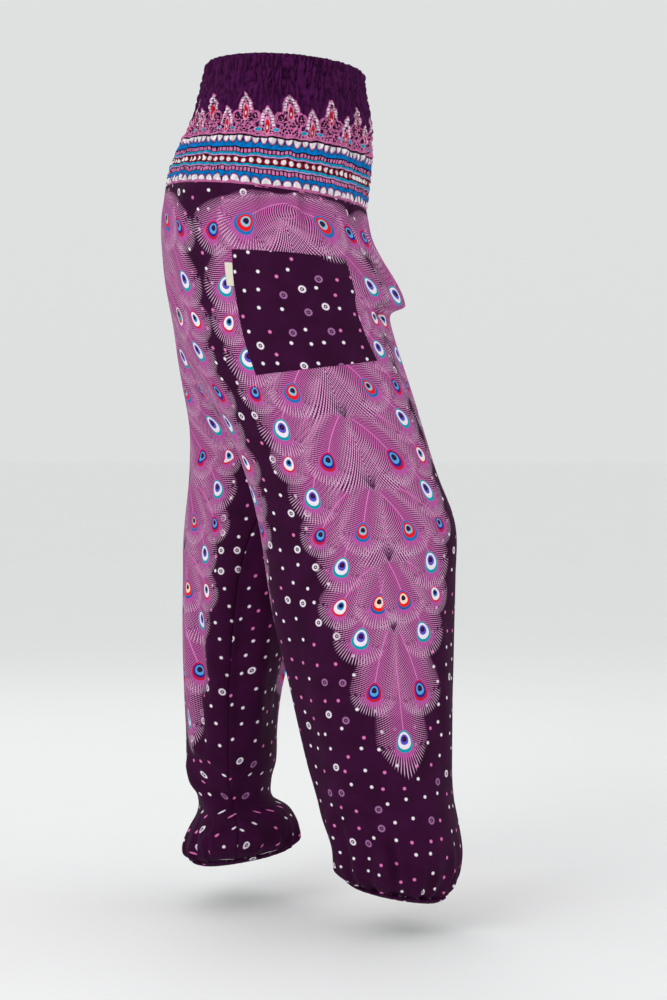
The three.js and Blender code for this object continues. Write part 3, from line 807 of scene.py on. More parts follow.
def linear(code):
    """Linear colour from an sRGB hex code."""
    parts = [int(code[i : i + 2], 16) / 255 for i in (1, 3, 5)]
    return tuple(c / 12.92 if c <= 0.04045 else ((c + 0.055) / 1.055) ** 2.4 for c in parts) + (1.0,)


def add(tree, kind, *inputs, pick=0, **settings):
    """Adds a shader node with its settings and links or sets its inputs, in order or by key."""
    made = tree.nodes.new("ShaderNode" + kind)
    for key, value in settings.items():
        setattr(made, key, value)
    by_key = inputs[0] if inputs and isinstance(inputs[0], dict) else dict(enumerate(inputs))
    for key, value in by_key.items():
        if isinstance(value, bpy.types.NodeSocket):
            tree.links.new(value, made.inputs[key])
        else:
            made.inputs[key].default_value = value
    return made.outputs[pick]


GROUND = "#3c1138"
GROUND_DARK = "#26081f"
GROUND_LIGHT = "#41103c"
PINK = "#dd6fba"
MAGENTA = "#bd52a3"
PALE = "#f0dcec"
# Rings of each kind of eye, from the middle out: radius where the ring starts, colour
EYE_RINGS = (
    ((0, "#6a1426"), (0.14, "#17124a"), (0.30, "#5a55c6"), (0.50, "#f3e6f3"), (0.78, "#0d9cab")),
    ((0, "#14102e"), (0.30, "#3f86d0"), (0.48, "#f4ecf2"), (0.82, "#d4263c")),
    ((0, "#3a1030"), (0.16, "#182450"), (0.32, "#8fc0d4"), (0.50, "#e2202c"), (0.78, "#1c6fb4")),
    ((0, "#131236"), (0.34, "#2aa0a8"), (0.62, "#c8202e"), (0.80, "#f4e8f0")),
    ((0, "#5a1020"), (0.15, "#161448"), (0.34, "#5aa4dc"), (0.58, "#28288c"), (0.80, "#cc1a36")),
    ((0, "#5a1424"), (0.13, "#1a1238"), (0.30, "#f8dcca"), (0.56, "#ee2414"), (0.80, "#1560a8")),
)

# Drawing of a plume, in millimetres; the real barbs are finer, and are drawn coarse so that they show
BARB_PITCH, BARB_BEND, DASH_PITCH, STEM_HALF = 2.5, 26.0, 3.1, 0.55
FRINGE_HAIRS = 80.0  # waves of the fringe for each radian round the eye


def plume_group():
    """One plume of the print over what lies under it: a stem, fine barbs, a ringed eye and a fringe."""
    tree = bpy.data.node_groups.new("plume", "ShaderNodeTree")
    for name in ("Cloth", "Place", "Kind"):
        tree.interface.new_socket(name, in_out="INPUT", socket_type="NodeSocketVector")
    tree.interface.new_socket("Under", in_out="INPUT", socket_type="NodeSocketColor")
    tree.interface.new_socket("Over", in_out="OUTPUT", socket_type="NodeSocketColor")
    entry = tree.nodes.new("NodeGroupInput")
    cloth, place, kind, under = (entry.outputs[k] for k in range(4))

    place_parts = add(tree, "SeparateXYZ", place).node.outputs
    kind_parts = add(tree, "SeparateXYZ", kind).node.outputs
    offset = add(tree, "VectorMath", cloth, place, operation="SUBTRACT")
    turned = add(tree, "VectorRotate", {"Vector": offset, "Angle": place_parts[2]}, rotation_type="Z_AXIS")
    local = add(tree, "SeparateXYZ", turned).node.outputs
    x, y = local[0], local[1]
    size, scheme, reach = kind_parts[0], kind_parts[1], kind_parts[2]
    behind = add(tree, "Math", y, 0.0, operation="MINIMUM")
    # the stem bends towards the print's middle line as it climbs
    bow = add(
        tree, "Math", add(tree, "Math", behind, behind, operation="MULTIPLY"), reach, operation="DIVIDE"
    )
    x = add(
        tree,
        "Math",
        x,
        add(
            tree,
            "Math",
            add(tree, "Math", bow, STEM_BEND, operation="MULTIPLY"),
            place_parts[2],
            operation="MULTIPLY",
        ),
        operation="ADD",
    )
    unit_x = add(tree, "Math", x, size, operation="DIVIDE")
    unit_y = add(tree, "Math", y, size, operation="DIVIDE")
    wide = add(tree, "Math", x, operation="ABSOLUTE")
    # eye
    egg_x = add(
        tree,
        "Math",
        unit_x,
        add(tree, "Math", unit_y, -0.2, 1.06, operation="MULTIPLY_ADD"),
        operation="MULTIPLY",
    )
    egg_y = add(tree, "Math", unit_y, 0.8, operation="MULTIPLY")
    round_off = add(
        tree,
        "Math",
        add(tree, "Math", egg_x, egg_x, operation="MULTIPLY"),
        add(tree, "Math", egg_y, egg_y, operation="MULTIPLY"),
        operation="ADD",
    )
    ring = add(tree, "Math", round_off, operation="SQRT")
    eye = add(tree, "Math", ring, 1.0, operation="LESS_THAN")
    # the rings inside lie nearer to the stem
    room = add(tree, "Math", 1.0, ring, operation="SUBTRACT", use_clamp=True)
    inner_y = add(tree, "Math", room, 0.3, egg_y, operation="MULTIPLY_ADD")
    inner_ring = add(
        tree,
        "Math",
        add(
            tree,
            "Math",
            add(tree, "Math", egg_x, egg_x, operation="MULTIPLY"),
            add(tree, "Math", inner_y, inner_y, operation="MULTIPLY"),
            operation="ADD",
        ),
        operation="SQRT",
    )
    ring_held = add(tree, "Math", inner_ring, 0.985, operation="MINIMUM")
    lookup = add(
        tree,
        "Math",
        add(tree, "Math", scheme, ring_held, operation="ADD"),
        float(len(EYE_RINGS)),
        operation="DIVIDE",
    )
    eye_colour = add(tree, "ValToRGB", lookup)
    ramp = eye_colour.node.color_ramp
    ramp.interpolation = "CONSTANT"
    stops = [((s + r) / len(EYE_RINGS), code) for s, rings in enumerate(EYE_RINGS) for r, code in rings]
    while len(ramp.elements) < len(stops):
        ramp.elements.new(1.0)
    for element, (spot, code) in zip(ramp.elements, stops):
        element.position = spot
        element.color = linear(code)
    # barbs leave the stem towards the tip, then bend out level
    bent = add(
        tree,
        "Math",
        add(tree, "Math", wide, BARB_BEND, operation="MULTIPLY"),
        add(tree, "Math", wide, BARB_BEND, operation="ADD"),
        operation="DIVIDE",
    )
    phase = add(
        tree, "Math", y, add(tree, "Math", bent, 1.25, operation="MULTIPLY"), operation="SUBTRACT"
    )
    barb_wave = add(
        tree,
        "Math",
        add(tree, "Math", phase, 2 * math.pi / BARB_PITCH, operation="MULTIPLY"),
        operation="SINE",
    )
    fan = add(
        tree, "Math", x, add(tree, "Math", size, 1.5, y, operation="MULTIPLY_ADD"), operation="ARCTAN2"
    )
    fringe_wave = add(
        tree, "Math", add(tree, "Math", fan, FRINGE_HAIRS, operation="MULTIPLY"), operation="SINE"
    )
    tip = add(tree, "MapRange", unit_y, 0.1, 1.0, interpolation_type="SMOOTHSTEP")
    wave = add(tree, "Mix", {0: tip, 2: barb_wave, 3: fringe_wave}, data_type="FLOAT")
    # the plume's outline, uneven where its barbs end
    stem_share = add(tree, "Math", behind, reach, operation="DIVIDE")
    taper = add(
        tree,
        "Math",
        add(tree, "Math", stem_share, 1.02, operation="ADD", use_clamp=True),
        0.3,
        operation="POWER",
    )
    half_width = add(
        tree,
        "Math",
        add(tree, "Math", size, VANE_HALF, operation="MULTIPLY"),
        taper,
        operation="MULTIPLY",
    )
    side_part = add(
        tree, "Math", wide, add(tree, "Math", half_width, 0.5, operation="MAXIMUM"), operation="DIVIDE"
    )
    # the lowest plume, the only one that hangs straight, has a longer, more pointed fringe
    straight = add(tree, "Math", place_parts[2], 0.0, 0.001, operation="COMPARE")
    tip_length = add(
        tree,
        "Math",
        size,
        add(tree, "Math", straight, LAST_TIP - TIP, TIP, operation="MULTIPLY_ADD"),
        operation="MULTIPLY",
    )
    tip_part = add(
        tree, "Math", add(tree, "Math", y, 0.0, operation="MAXIMUM"), tip_length, operation="DIVIDE"
    )
    squares = add(
        tree,
        "Math",
        add(tree, "Math", side_part, side_part, operation="MULTIPLY"),
        add(tree, "Math", tip_part, tip_part, operation="MULTIPLY"),
        operation="ADD",
    )
    pointed = add(
        tree,
        "Math",
        straight,
        add(tree, "Math", side_part, tip_part, operation="MULTIPLY"),
        operation="MULTIPLY",
    )
    outline = add(tree, "Math", add(tree, "Math", squares, pointed, operation="ADD"), operation="SQRT")
    ragged = add(tree, "Math", wave, -0.08, outline, operation="MULTIPLY_ADD")
    vane = add(
        tree,
        "Math",
        1.0,
        add(tree, "MapRange", ragged, 0.86, 1.0, interpolation_type="SMOOTHSTEP"),
        operation="SUBTRACT",
    )
    begun = add(tree, "MapRange", stem_share, -1.0, -0.9, interpolation_type="SMOOTHSTEP")
    vane = add(tree, "Math", vane, begun, operation="MULTIPLY")
    # barbs grow thinner towards their ends
    thin = add(
        tree,
        "Math",
        add(
            tree, "Math", add(tree, "Math", outline, 0.3, operation="SUBTRACT"), 0.0, operation="MAXIMUM"
        ),
        -0.9,
        operation="MULTIPLY",
    )
    line = add(
        tree,
        "MapRange",
        add(tree, "Math", wave, thin, operation="ADD"),
        -0.2,
        0.45,
        interpolation_type="SMOOTHSTEP",
    )
    # whitish dashes on the outer half of the barbs
    dash = add(
        tree,
        "MapRange",
        add(
            tree,
            "Math",
            add(tree, "Math", wide, 2 * math.pi / DASH_PITCH, operation="MULTIPLY"),
            operation="SINE",
        ),
        -0.1,
        0.5,
        interpolation_type="SMOOTHSTEP",
    )
    outer = add(tree, "MapRange", outline, 0.25, 0.7, interpolation_type="SMOOTHSTEP")
    whiten = add(
        tree,
        "Math",
        outer,
        add(tree, "Math", dash, 0.5, 0.05, operation="MULTIPLY_ADD"),
        operation="MULTIPLY",
    )
    tip_white = add(
        tree,
        "Math",
        add(
            tree,
            "Math",
            tip,
            add(tree, "MapRange", outline, 0.6, 0.9, interpolation_type="SMOOTHSTEP"),
            operation="MULTIPLY",
        ),
        0.7,
        operation="MULTIPLY",
    )
    whiten = add(tree, "Math", whiten, tip_white, operation="MAXIMUM")
    barb_colour = add(
        tree, "Mix", {0: whiten, 6: linear(PINK), 7: linear(PALE)}, pick=2, data_type="RGBA"
    )
    gap_colour = add(
        tree, "Mix", {0: tip, 6: linear("#3a1036"), 7: linear("#6a2461")}, pick=2, data_type="RGBA"
    )
    drawn = add(tree, "Mix", {0: line, 6: gap_colour, 7: barb_colour}, pick=2, data_type="RGBA")
    see_through = add(
        tree,
        "Math",
        1.0,
        add(tree, "MapRange", outline, 0.4, 0.95, interpolation_type="SMOOTHSTEP"),
        operation="SUBTRACT",
    )
    gap_cover = add(tree, "Math", see_through, 0.75, 0.12, operation="MULTIPLY_ADD")
    cover = add(
        tree,
        "Math",
        vane,
        add(
            tree,
            "Math",
            add(tree, "Math", line, 0.95, operation="MULTIPLY"),
            gap_cover,
            operation="MAXIMUM",
        ),
        operation="MULTIPLY",
    )
    over = add(tree, "Mix", {0: cover, 6: under, 7: drawn}, pick=2, data_type="RGBA")
    # stem
    on_stem = add(
        tree,
        "Math",
        add(tree, "Math", wide, STEM_HALF, operation="LESS_THAN"),
        add(tree, "Math", unit_y, -1.0, operation="LESS_THAN"),
        operation="MULTIPLY",
    )
    on_stem = add(tree, "Math", on_stem, begun, operation="MULTIPLY")
    over = add(tree, "Mix", {0: on_stem, 6: over, 7: linear("#e07cc2")}, pick=2, data_type="RGBA")
    # magenta halo round the eye, longer below it
    drop = add(
        tree, "Math", add(tree, "Math", unit_y, 0.0, operation="MAXIMUM"), -0.2, operation="MULTIPLY"
    )
    halo = add(
        tree,
        "Math",
        1.0,
        add(
            tree,
            "MapRange",
            add(tree, "Math", ring, drop, operation="ADD"),
            0.98,
            1.2,
            interpolation_type="SMOOTHSTEP",
        ),
        operation="SUBTRACT",
    )
    halo = add(tree, "Math", halo, 0.75, operation="MULTIPLY")
    over = add(tree, "Mix", {0: halo, 6: over, 7: linear(MAGENTA)}, pick=2, data_type="RGBA")
    over = add(tree, "Mix", {0: eye, 6: over, 7: eye_colour}, pick=2, data_type="RGBA")
    leave = tree.nodes.new("NodeGroupOutput")
    tree.links.new(over, leave.inputs[0])
    return tree


PLUME = plume_group()


def new_material(name, roughness):
    material = bpy.data.materials.new(name)
    material.use_nodes = True
    tree = material.node_tree
    shader = next(n for n in tree.nodes if n.type == "BSDF_PRINCIPLED")
    shader.inputs["Roughness"].default_value = roughness
    shader.inputs["Specular IOR Level"].default_value = 0.04
    shader.inputs["Sheen Weight"].default_value = 0.008
    shader.inputs["Sheen Roughness"].default_value = 0.45
    return material, tree, shader


DOT_SPACING = 21.0


def dotted_ground(tree, cloth):
    """The dark ground with scattered dots and small rings. cloth is in millimetres."""
    cells = add(
        tree,
        "TexVoronoi",
        {"Vector": cloth, "Scale": 1 / DOT_SPACING, "Randomness": 0.62},
        voronoi_dimensions="2D",
    ).node
    gap = add(tree, "Math", cells.outputs["Distance"], DOT_SPACING, operation="MULTIPLY")
    pick = add(tree, "SeparateColor", cells.outputs["Color"]).node.outputs
    is_ring = add(tree, "Math", pick[0], 0.17, operation="LESS_THAN")
    is_pink = add(tree, "Math", pick[1], 0.62, operation="GREATER_THAN")
    dot = add(tree, "MapRange", gap, 1.4, 2.4, 1.0, 0.0)
    ring_from = add(tree, "MapRange", gap, 3.7, 4.7, 1.0, 0.0)
    ring_hole = add(tree, "MapRange", gap, 1.9, 2.6)
    ring = add(tree, "Math", ring_from, ring_hole, operation="MULTIPLY")
    core = add(tree, "MapRange", gap, 0.6, 1.2, 0.8, 0.0)
    ring = add(tree, "Math", ring, core, operation="MAXIMUM")
    shown = add(tree, "Mix", {0: is_ring, 2: dot, 3: ring}, data_type="FLOAT")
    tint = add(
        tree, "Mix", {0: is_pink, 6: linear("#f6eef6"), 7: linear("#e879bd")}, pick=2, data_type="RGBA"
    )
    ring_tint = add(
        tree, "Mix", {0: is_pink, 6: linear("#f2e8f2"), 7: linear("#a06c9c")}, pick=2, data_type="RGBA"
    )
    tint = add(tree, "Mix", {0: is_ring, 6: tint, 7: ring_tint}, pick=2, data_type="RGBA")
    mottle = add(tree, "TexNoise", {"Vector": cloth, "Scale": 0.03, "Detail": 2.0})
    ground = add(
        tree, "Mix", {0: mottle, 6: linear(GROUND_DARK), 7: linear(GROUND_LIGHT)}, pick=2, data_type="RGBA"
    )
    return add(tree, "Mix", {0: shown, 6: ground, 7: tint}, pick=2, data_type="RGBA")


RAMP_TOP = 150.0  # half width that a ramp's white stands for
FILL_WIDTH, FILL_END = 0.72, 600.0  # share of the panel that is filled, and how far down
FILL_PITCH, FILL_DASH = 2.3, 4.3


def panel_fill(tree, cloth, ground):
    """Barbs of the plumes deeper in the stack: fine lines that run down and out from the middle line."""
    parts = add(tree, "SeparateXYZ", cloth).node.outputs

    middle = add(tree, "Attribute", pick=2, attribute_name="panel middle")
    aside = add(
        tree, "Math", add(tree, "Math", parts[0], middle, operation="SUBTRACT"), operation="ABSOLUTE"
    )
    down = parts[1]
    half = add(tree, "ValToRGB", add(tree, "Math", down, PANEL_DOWN[-1], operation="DIVIDE"))
    ramp = half.node.color_ramp
    while len(ramp.elements) < len(PANEL_DOWN):
        ramp.elements.new(1.0)
    for element, at, value in zip(ramp.elements, PANEL_DOWN, PANEL_HALF):
        element.position = at / PANEL_DOWN[-1]
        share = value / RAMP_TOP
        element.color = (share, share, share, 1)
    room = add(
        tree,
        "Math",
        add(tree, "Math", half, RAMP_TOP * FILL_WIDTH, operation="MULTIPLY"),
        aside,
        operation="SUBTRACT",
    )
    inside = add(tree, "MapRange", room, 2.0, 14.0)
    inside = add(
        tree,
        "Math",
        inside,
        add(tree, "Math", down, FILL_END, operation="LESS_THAN"),
        operation="MULTIPLY",
    )
    # the upper edge of the panel dips away from the middle line
    aside_share = add(tree, "Math", aside, 100.0, operation="DIVIDE")
    edge = add(
        tree,
        "Math",
        add(tree, "Math", aside_share, 3.0, operation="POWER"),
        28.0,
        6.0,
        operation="MULTIPLY_ADD",
    )
    inside = add(
        tree,
        "Math",
        inside,
        add(tree, "MapRange", add(tree, "Math", down, edge, operation="SUBTRACT"), 0.0, 3.0),
        operation="MULTIPLY",
    )
    # lines steepen towards the middle
    spread = add(
        tree,
        "Math",
        add(tree, "Math", aside, 60.0, operation="MULTIPLY"),
        add(tree, "Math", aside, 60.0, operation="ADD"),
        operation="DIVIDE",
    )
    phase = add(
        tree,
        "Math",
        add(tree, "Math", down, 0.42, operation="MULTIPLY"),
        add(tree, "Math", spread, 1.15, operation="MULTIPLY"),
        operation="SUBTRACT",
    )
    wave = add(
        tree,
        "Math",
        add(tree, "Math", phase, 2 * math.pi / FILL_PITCH, operation="MULTIPLY"),
        operation="SINE",
    )
    line = add(tree, "MapRange", wave, -0.3, 0.5)
    dash = add(
        tree,
        "Math",
        add(
            tree,
            "Math",
            add(tree, "Math", down, aside, operation="ADD"),
            2 * math.pi / FILL_DASH,
            operation="MULTIPLY",
        ),
        operation="SINE",
    )
    dashes = add(tree, "MapRange", dash, -0.2, 0.4)
    tint = add(tree, "Mix", {0: dashes, 6: linear(PINK), 7: linear("#e6bcdc")}, pick=2, data_type="RGBA")
    # a dark notch over each node, where the stems part
    since = add(
        tree,
        "Math",
        add(tree, "Math", down, NODE_FIRST, operation="SUBTRACT"),
        float(NODE_STEP),
        operation="FLOORED_MODULO",
    )
    before = add(tree, "Math", float(NODE_STEP), since, operation="SUBTRACT")
    notch = add(
        tree, "Math", add(tree, "Math", before, 0.5, operation="MULTIPLY"), aside, operation="SUBTRACT"
    )
    fading = add(tree, "MapRange", before, 5.0, 20.0, 1.0, 0.0)
    notch = add(tree, "Math", add(tree, "MapRange", notch, -1.0, 0.5), fading, operation="MULTIPLY")
    strength = add(
        tree,
        "Math",
        inside,
        add(
            tree, "Math", 1.0, add(tree, "Math", notch, 0.9, operation="MULTIPLY"), operation="SUBTRACT"
        ),
        operation="MULTIPLY",
    )
    gap_cover = add(tree, "Math", inside, 0.9, operation="MULTIPLY")
    body = add(tree, "Mix", {0: gap_cover, 6: ground, 7: linear(GROUND)}, pick=2, data_type="RGBA")
    line_cover = add(tree, "Math", line, strength, operation="MULTIPLY")
    return add(tree, "Mix", {0: line_cover, 6: body, 7: tint}, pick=2, data_type="RGBA")


THREAD_PITCH = 1.1  # the real threads are about 0.3 mm apart, and are drawn coarser so that they show
BUMP_DEPTH = 0.0003


def weave_bump(tree, shader, cloth, strength=0.25, extra=None):
    """Plain weave with long soft slubs, and what extra adds."""
    parts = add(tree, "SeparateXYZ", cloth).node.outputs
    across = add(
        tree,
        "Math",
        add(tree, "Math", parts[0], 2 * math.pi / THREAD_PITCH, operation="MULTIPLY"),
        operation="SINE",
    )
    down = add(
        tree,
        "Math",
        add(tree, "Math", parts[1], 2 * math.pi / THREAD_PITCH, operation="MULTIPLY"),
        operation="SINE",
    )
    weave = add(tree, "Math", across, down, operation="MULTIPLY")
    slub = add(tree, "TexNoise", {"Vector": cloth, "Scale": 0.12, "Detail": 5.0, "Roughness": 0.6})
    height = add(tree, "Math", slub, 2.2, weave, operation="MULTIPLY_ADD")
    if extra is not None:
        height = add(tree, "Math", height, extra, operation="ADD")
    bump = add(tree, "Bump", {"Height": height, "Strength": strength, "Distance": BUMP_DEPTH})
    tree.links.new(bump, shader.inputs["Normal"])


def cloth_millimetres(tree):
    flat = add(tree, "UVMap", uv_map="flat cloth")
    return add(tree, "VectorMath", {0: flat, 3: 1000.0}, operation="SCALE")


def printed_viscose(name, filled):
    """Viscose, plain woven and screen printed: matt and soft, with a faint bloom at the edges of folds."""
    material, tree, shader = new_material(name, 0.74)
    cloth = cloth_millimetres(tree)
    colour = dotted_ground(tree, cloth)
    if filled:
        colour = panel_fill(tree, cloth, colour)
    for layer in range(LAYERS):
        place = add(tree, "Attribute", pick=1, attribute_name=f"plume {layer} place")
        kind = add(tree, "Attribute", pick=1, attribute_name=f"plume {layer} kind")
        colour = add(tree, "Group", cloth, place, kind, colour, node_tree=PLUME)
    tree.links.new(colour, shader.inputs["Base Color"])
    weave_bump(tree, shader, cloth)
    return material


def dotted_viscose(name):
    """The same viscose where only the dotted ground shows."""
    material, tree, shader = new_material(name, 0.76)
    cloth = cloth_millimetres(tree)
    tree.links.new(dotted_ground(tree, cloth), shader.inputs["Base Color"])
    weave_bump(tree, shader, cloth)
    return material


CROWN_PITCH = 53.0  # tall crowns of the border, in millimetres round the band
# Half widths of the crowns: share of the way down, millimetres
CROWN_TALL = (
    (0, -2), (0.02, 0.6), (0.07, 2.2), (0.16, 6.2), (0.27, 8.8), (0.4, 9.6), (0.75, 12), (0.95, 20)
)
CROWN_SMALL = ((0, -2), (0.02, 0.6), (0.08, 1.8), (0.2, 5.0), (0.41, 8.0), (0.67, 9.4), (1, 14))
CURVE_LOW = -2.0  # both tables start at this width
# Tip and length of the crowns, on the way down the band
TALL_TIP, TALL_LENGTH, SMALL_TIP, SMALL_LENGTH = 41.0, 52.0, 57.0, 34.0
CROWN_FOOT = 91.0
CURL_ASIDE, CURL_DOWN, CURL_RADIUS = 11.5, 70.5, 6.8
LACE_PITCH, SPIRAL_PITCH, BEAD_PITCH = 3.4, 3.6, 3.5
RING_PITCH, RING_LINE = 9.2, 124.3
# Colours of the border
CROWN_PINK, DROP_PINK, NEARLY_BLACK = "#d676ac", "#e79abf", "#1a0a1c"
BLUE, TURQUOISE, LILAC, SQUARE_PINK, RIM_PINK = "#0078c8", "#12a0cc", "#cf98d2", "#df7fb4", "#cf6ea6"


def border_viscose(name):
    """Viscose with the border print, shirred: the cloth crinkles between the rows of elastic."""
    material, tree, shader = new_material(name, 0.76)
    cloth = cloth_millimetres(tree)
    parts = add(tree, "SeparateXYZ", cloth).node.outputs
    around, down = parts[0], parts[1]
    inks = []  # mask and colour of each layer of the print, the lowest first

    def between(value, low, high, soft=0.25):
        """One between two values, fading to nothing outside them."""
        rise = add(tree, "MapRange", value, low - soft, low + soft)
        fade = add(tree, "MapRange", value, high - soft, high + soft, 1.0, 0.0)
        return add(tree, "Math", rise, fade, operation="MULTIPLY")

    def across(pitch, shift=0.0):
        """Distance from the nearest middle of a motif that repeats at a pitch, with its sign."""
        repeat = add(
            tree,
            "Math",
            add(
                tree,
                "Math",
                add(tree, "Math", around, shift, operation="ADD"),
                pitch,
                operation="DIVIDE",
            ),
            operation="FRACT",
        )
        return add(
            tree,
            "Math",
            add(tree, "Math", repeat, pitch, operation="MULTIPLY"),
            pitch / 2,
            operation="SUBTRACT",
        )

    mottle = add(tree, "TexNoise", {"Vector": cloth, "Scale": 0.05, "Detail": 3.0})
    colour = add(
        tree, "Mix", {0: mottle, 6: linear("#3a0d3a"), 7: linear("#551852")}, pick=2, data_type="RGBA"
    )

    def profile(value, points):
        """A smooth curve through (share, height) points, as a ramp."""
        top = points[-1][1]
        made = add(tree, "ValToRGB", value)
        ramp = made.node.color_ramp
        ramp.interpolation = "EASE"
        while len(ramp.elements) < len(points):
            ramp.elements.new(1.0)
        for element, (at, height) in zip(ramp.elements, points):
            element.position = at
            share = (height - CURVE_LOW) / (top - CURVE_LOW)
            element.color = (share, share, share, 1)
        return add(tree, "Math", made, top - CURVE_LOW, CURVE_LOW, operation="MULTIPLY_ADD")

    def disc(x, y, wide, high):
        """Less than one inside an oval."""
        across_share = add(tree, "Math", x, wide, operation="DIVIDE")
        down_share = add(tree, "Math", y, high, operation="DIVIDE")
        return add(
            tree,
            "Math",
            add(tree, "Math", across_share, across_share, operation="MULTIPLY"),
            add(tree, "Math", down_share, down_share, operation="MULTIPLY"),
            operation="ADD",
        )

    # crowns: tall spires with a curl on each side, small ones between, over a lacy base
    tall = add(tree, "Math", across(CROWN_PITCH, CROWN_PITCH / 2), operation="ABSOLUTE")
    small = add(tree, "Math", across(CROWN_PITCH, 0.0), operation="ABSOLUTE")
    below_tall = add(
        tree,
        "Math",
        add(tree, "Math", down, TALL_TIP, operation="SUBTRACT"),
        TALL_LENGTH,
        operation="DIVIDE",
        use_clamp=True,
    )
    below_small = add(
        tree,
        "Math",
        add(tree, "Math", down, SMALL_TIP, operation="SUBTRACT"),
        SMALL_LENGTH,
        operation="DIVIDE",
        use_clamp=True,
    )
    tall_half = profile(below_tall, CROWN_TALL)
    small_half = profile(below_small, CROWN_SMALL)
    depth = add(
        tree,
        "Math",
        add(tree, "Math", tall_half, tall, operation="SUBTRACT"),
        add(tree, "Math", small_half, small, operation="SUBTRACT"),
        operation="MAXIMUM",
    )
    curl_x = add(tree, "Math", tall, CURL_ASIDE, operation="SUBTRACT")
    curl_y = add(tree, "Math", down, CURL_DOWN, operation="SUBTRACT")
    curl = add(
        tree,
        "Math",
        add(
            tree,
            "Math",
            add(tree, "Math", curl_x, curl_x, operation="MULTIPLY"),
            add(tree, "Math", curl_y, curl_y, operation="MULTIPLY"),
            operation="ADD",
        ),
        operation="SQRT",
    )
    depth = add(
        tree,
        "Math",
        depth,
        add(tree, "Math", CURL_RADIUS, curl, operation="SUBTRACT"),
        operation="MAXIMUM",
    )
    above_base = add(tree, "Math", down, CROWN_FOOT, operation="LESS_THAN")
    inside = add(
        tree,
        "Math",
        add(tree, "Math", depth, 0.0, operation="GREATER_THAN"),
        above_base,
        operation="MULTIPLY",
    )
    lace = add(
        tree,
        "TexVoronoi",
        {"Vector": cloth, "Scale": 1 / LACE_PITCH, "Randomness": 0.75},
        voronoi_dimensions="2D",
    )
    inks.append((inside, CROWN_PINK))
    holes = add(
        tree, "Math", inside, add(tree, "Math", lace, 0.36, operation="LESS_THAN"), operation="MULTIPLY"
    )
    inks.append((holes, "#2a0c2a"))
    turned = add(
        tree, "Math", curl, add(tree, "Math", curl_y, 0.25, operation="MULTIPLY"), operation="ADD"
    )
    spiral = add(
        tree,
        "Math",
        add(tree, "Math", turned, 2 * math.pi / SPIRAL_PITCH, operation="MULTIPLY"),
        operation="SINE",
    )
    on_curl = add(
        tree,
        "Math",
        add(tree, "Math", curl, CURL_RADIUS - 0.2, operation="LESS_THAN"),
        add(tree, "Math", spiral, -0.15, operation="LESS_THAN"),
        operation="MULTIPLY",
    )
    inks.append((add(tree, "Math", on_curl, above_base, operation="MULTIPLY"), "#371034"))
    rim = add(
        tree,
        "Math",
        add(
            tree,
            "Math",
            add(tree, "Math", add(tree, "Math", depth, 0.5, operation="SUBTRACT"), operation="ABSOLUTE"),
            1.0,
            operation="LESS_THAN",
        ),
        above_base,
        operation="MULTIPLY",
    )
    inks.append((rim, RIM_PINK))
    bead_step = add(
        tree,
        "Math",
        add(
            tree,
            "Math",
            add(tree, "Math", down, math.pi / BEAD_PITCH, operation="MULTIPLY"),
            operation="SINE",
        ),
        operation="ABSOLUTE",
    )
    bead_zone = add(
        tree,
        "Math",
        between(depth, 0.9, 4.2),
        add(tree, "Math", bead_step, 0.45, operation="GREATER_THAN"),
        operation="MULTIPLY",
    )
    tall_beads = add(
        tree,
        "Math",
        between(below_tall, 0.05, 0.4, 0.01),
        add(tree, "Math", tall, 10.0, operation="LESS_THAN"),
        operation="MULTIPLY",
    )
    small_beads = add(
        tree,
        "Math",
        between(below_small, 0.06, 0.68, 0.01),
        add(tree, "Math", small, 9.0, operation="LESS_THAN"),
        operation="MULTIPLY",
    )
    beads = add(
        tree,
        "Math",
        bead_zone,
        add(tree, "Math", tall_beads, small_beads, operation="MAXIMUM"),
        operation="MULTIPLY",
    )
    inks.append((beads, "#efe4f0"))
    for side_x, middle, wide, high in ((tall, 64.0, 2.6, 8.2), (small, 80.6, 2.4, 7.8)):
        drop = disc(side_x, add(tree, "Math", down, middle, operation="SUBTRACT"), wide, high)
        inks.append((add(tree, "Math", drop, 1.9, operation="LESS_THAN"), DROP_PINK))
        inks.append((add(tree, "Math", drop, 1.0, operation="LESS_THAN"), "#cf1c34"))
        spot = disc(
            side_x, add(tree, "Math", down, middle + 1.5, operation="SUBTRACT"), wide * 0.42, high * 0.3
        )
        inks.append((add(tree, "Math", spot, 1.0, operation="LESS_THAN"), "#f2dfe6"))
    oval = disc(
        add(tree, "Math", small, 10.2, operation="SUBTRACT"),
        add(tree, "Math", down, 84.6, operation="SUBTRACT"),
        4.2,
        2.6,
    )
    inks.append((add(tree, "Math", oval, 1.0, operation="LESS_THAN"), DROP_PINK))
    inks.append((add(tree, "Math", oval, 0.62, operation="LESS_THAN"), "#16a2cc"))
    inks.append((between(down, 89.8, 92.2), CROWN_PINK))
    inks.append((between(down, 92.2, 160.0), NEARLY_BLACK))

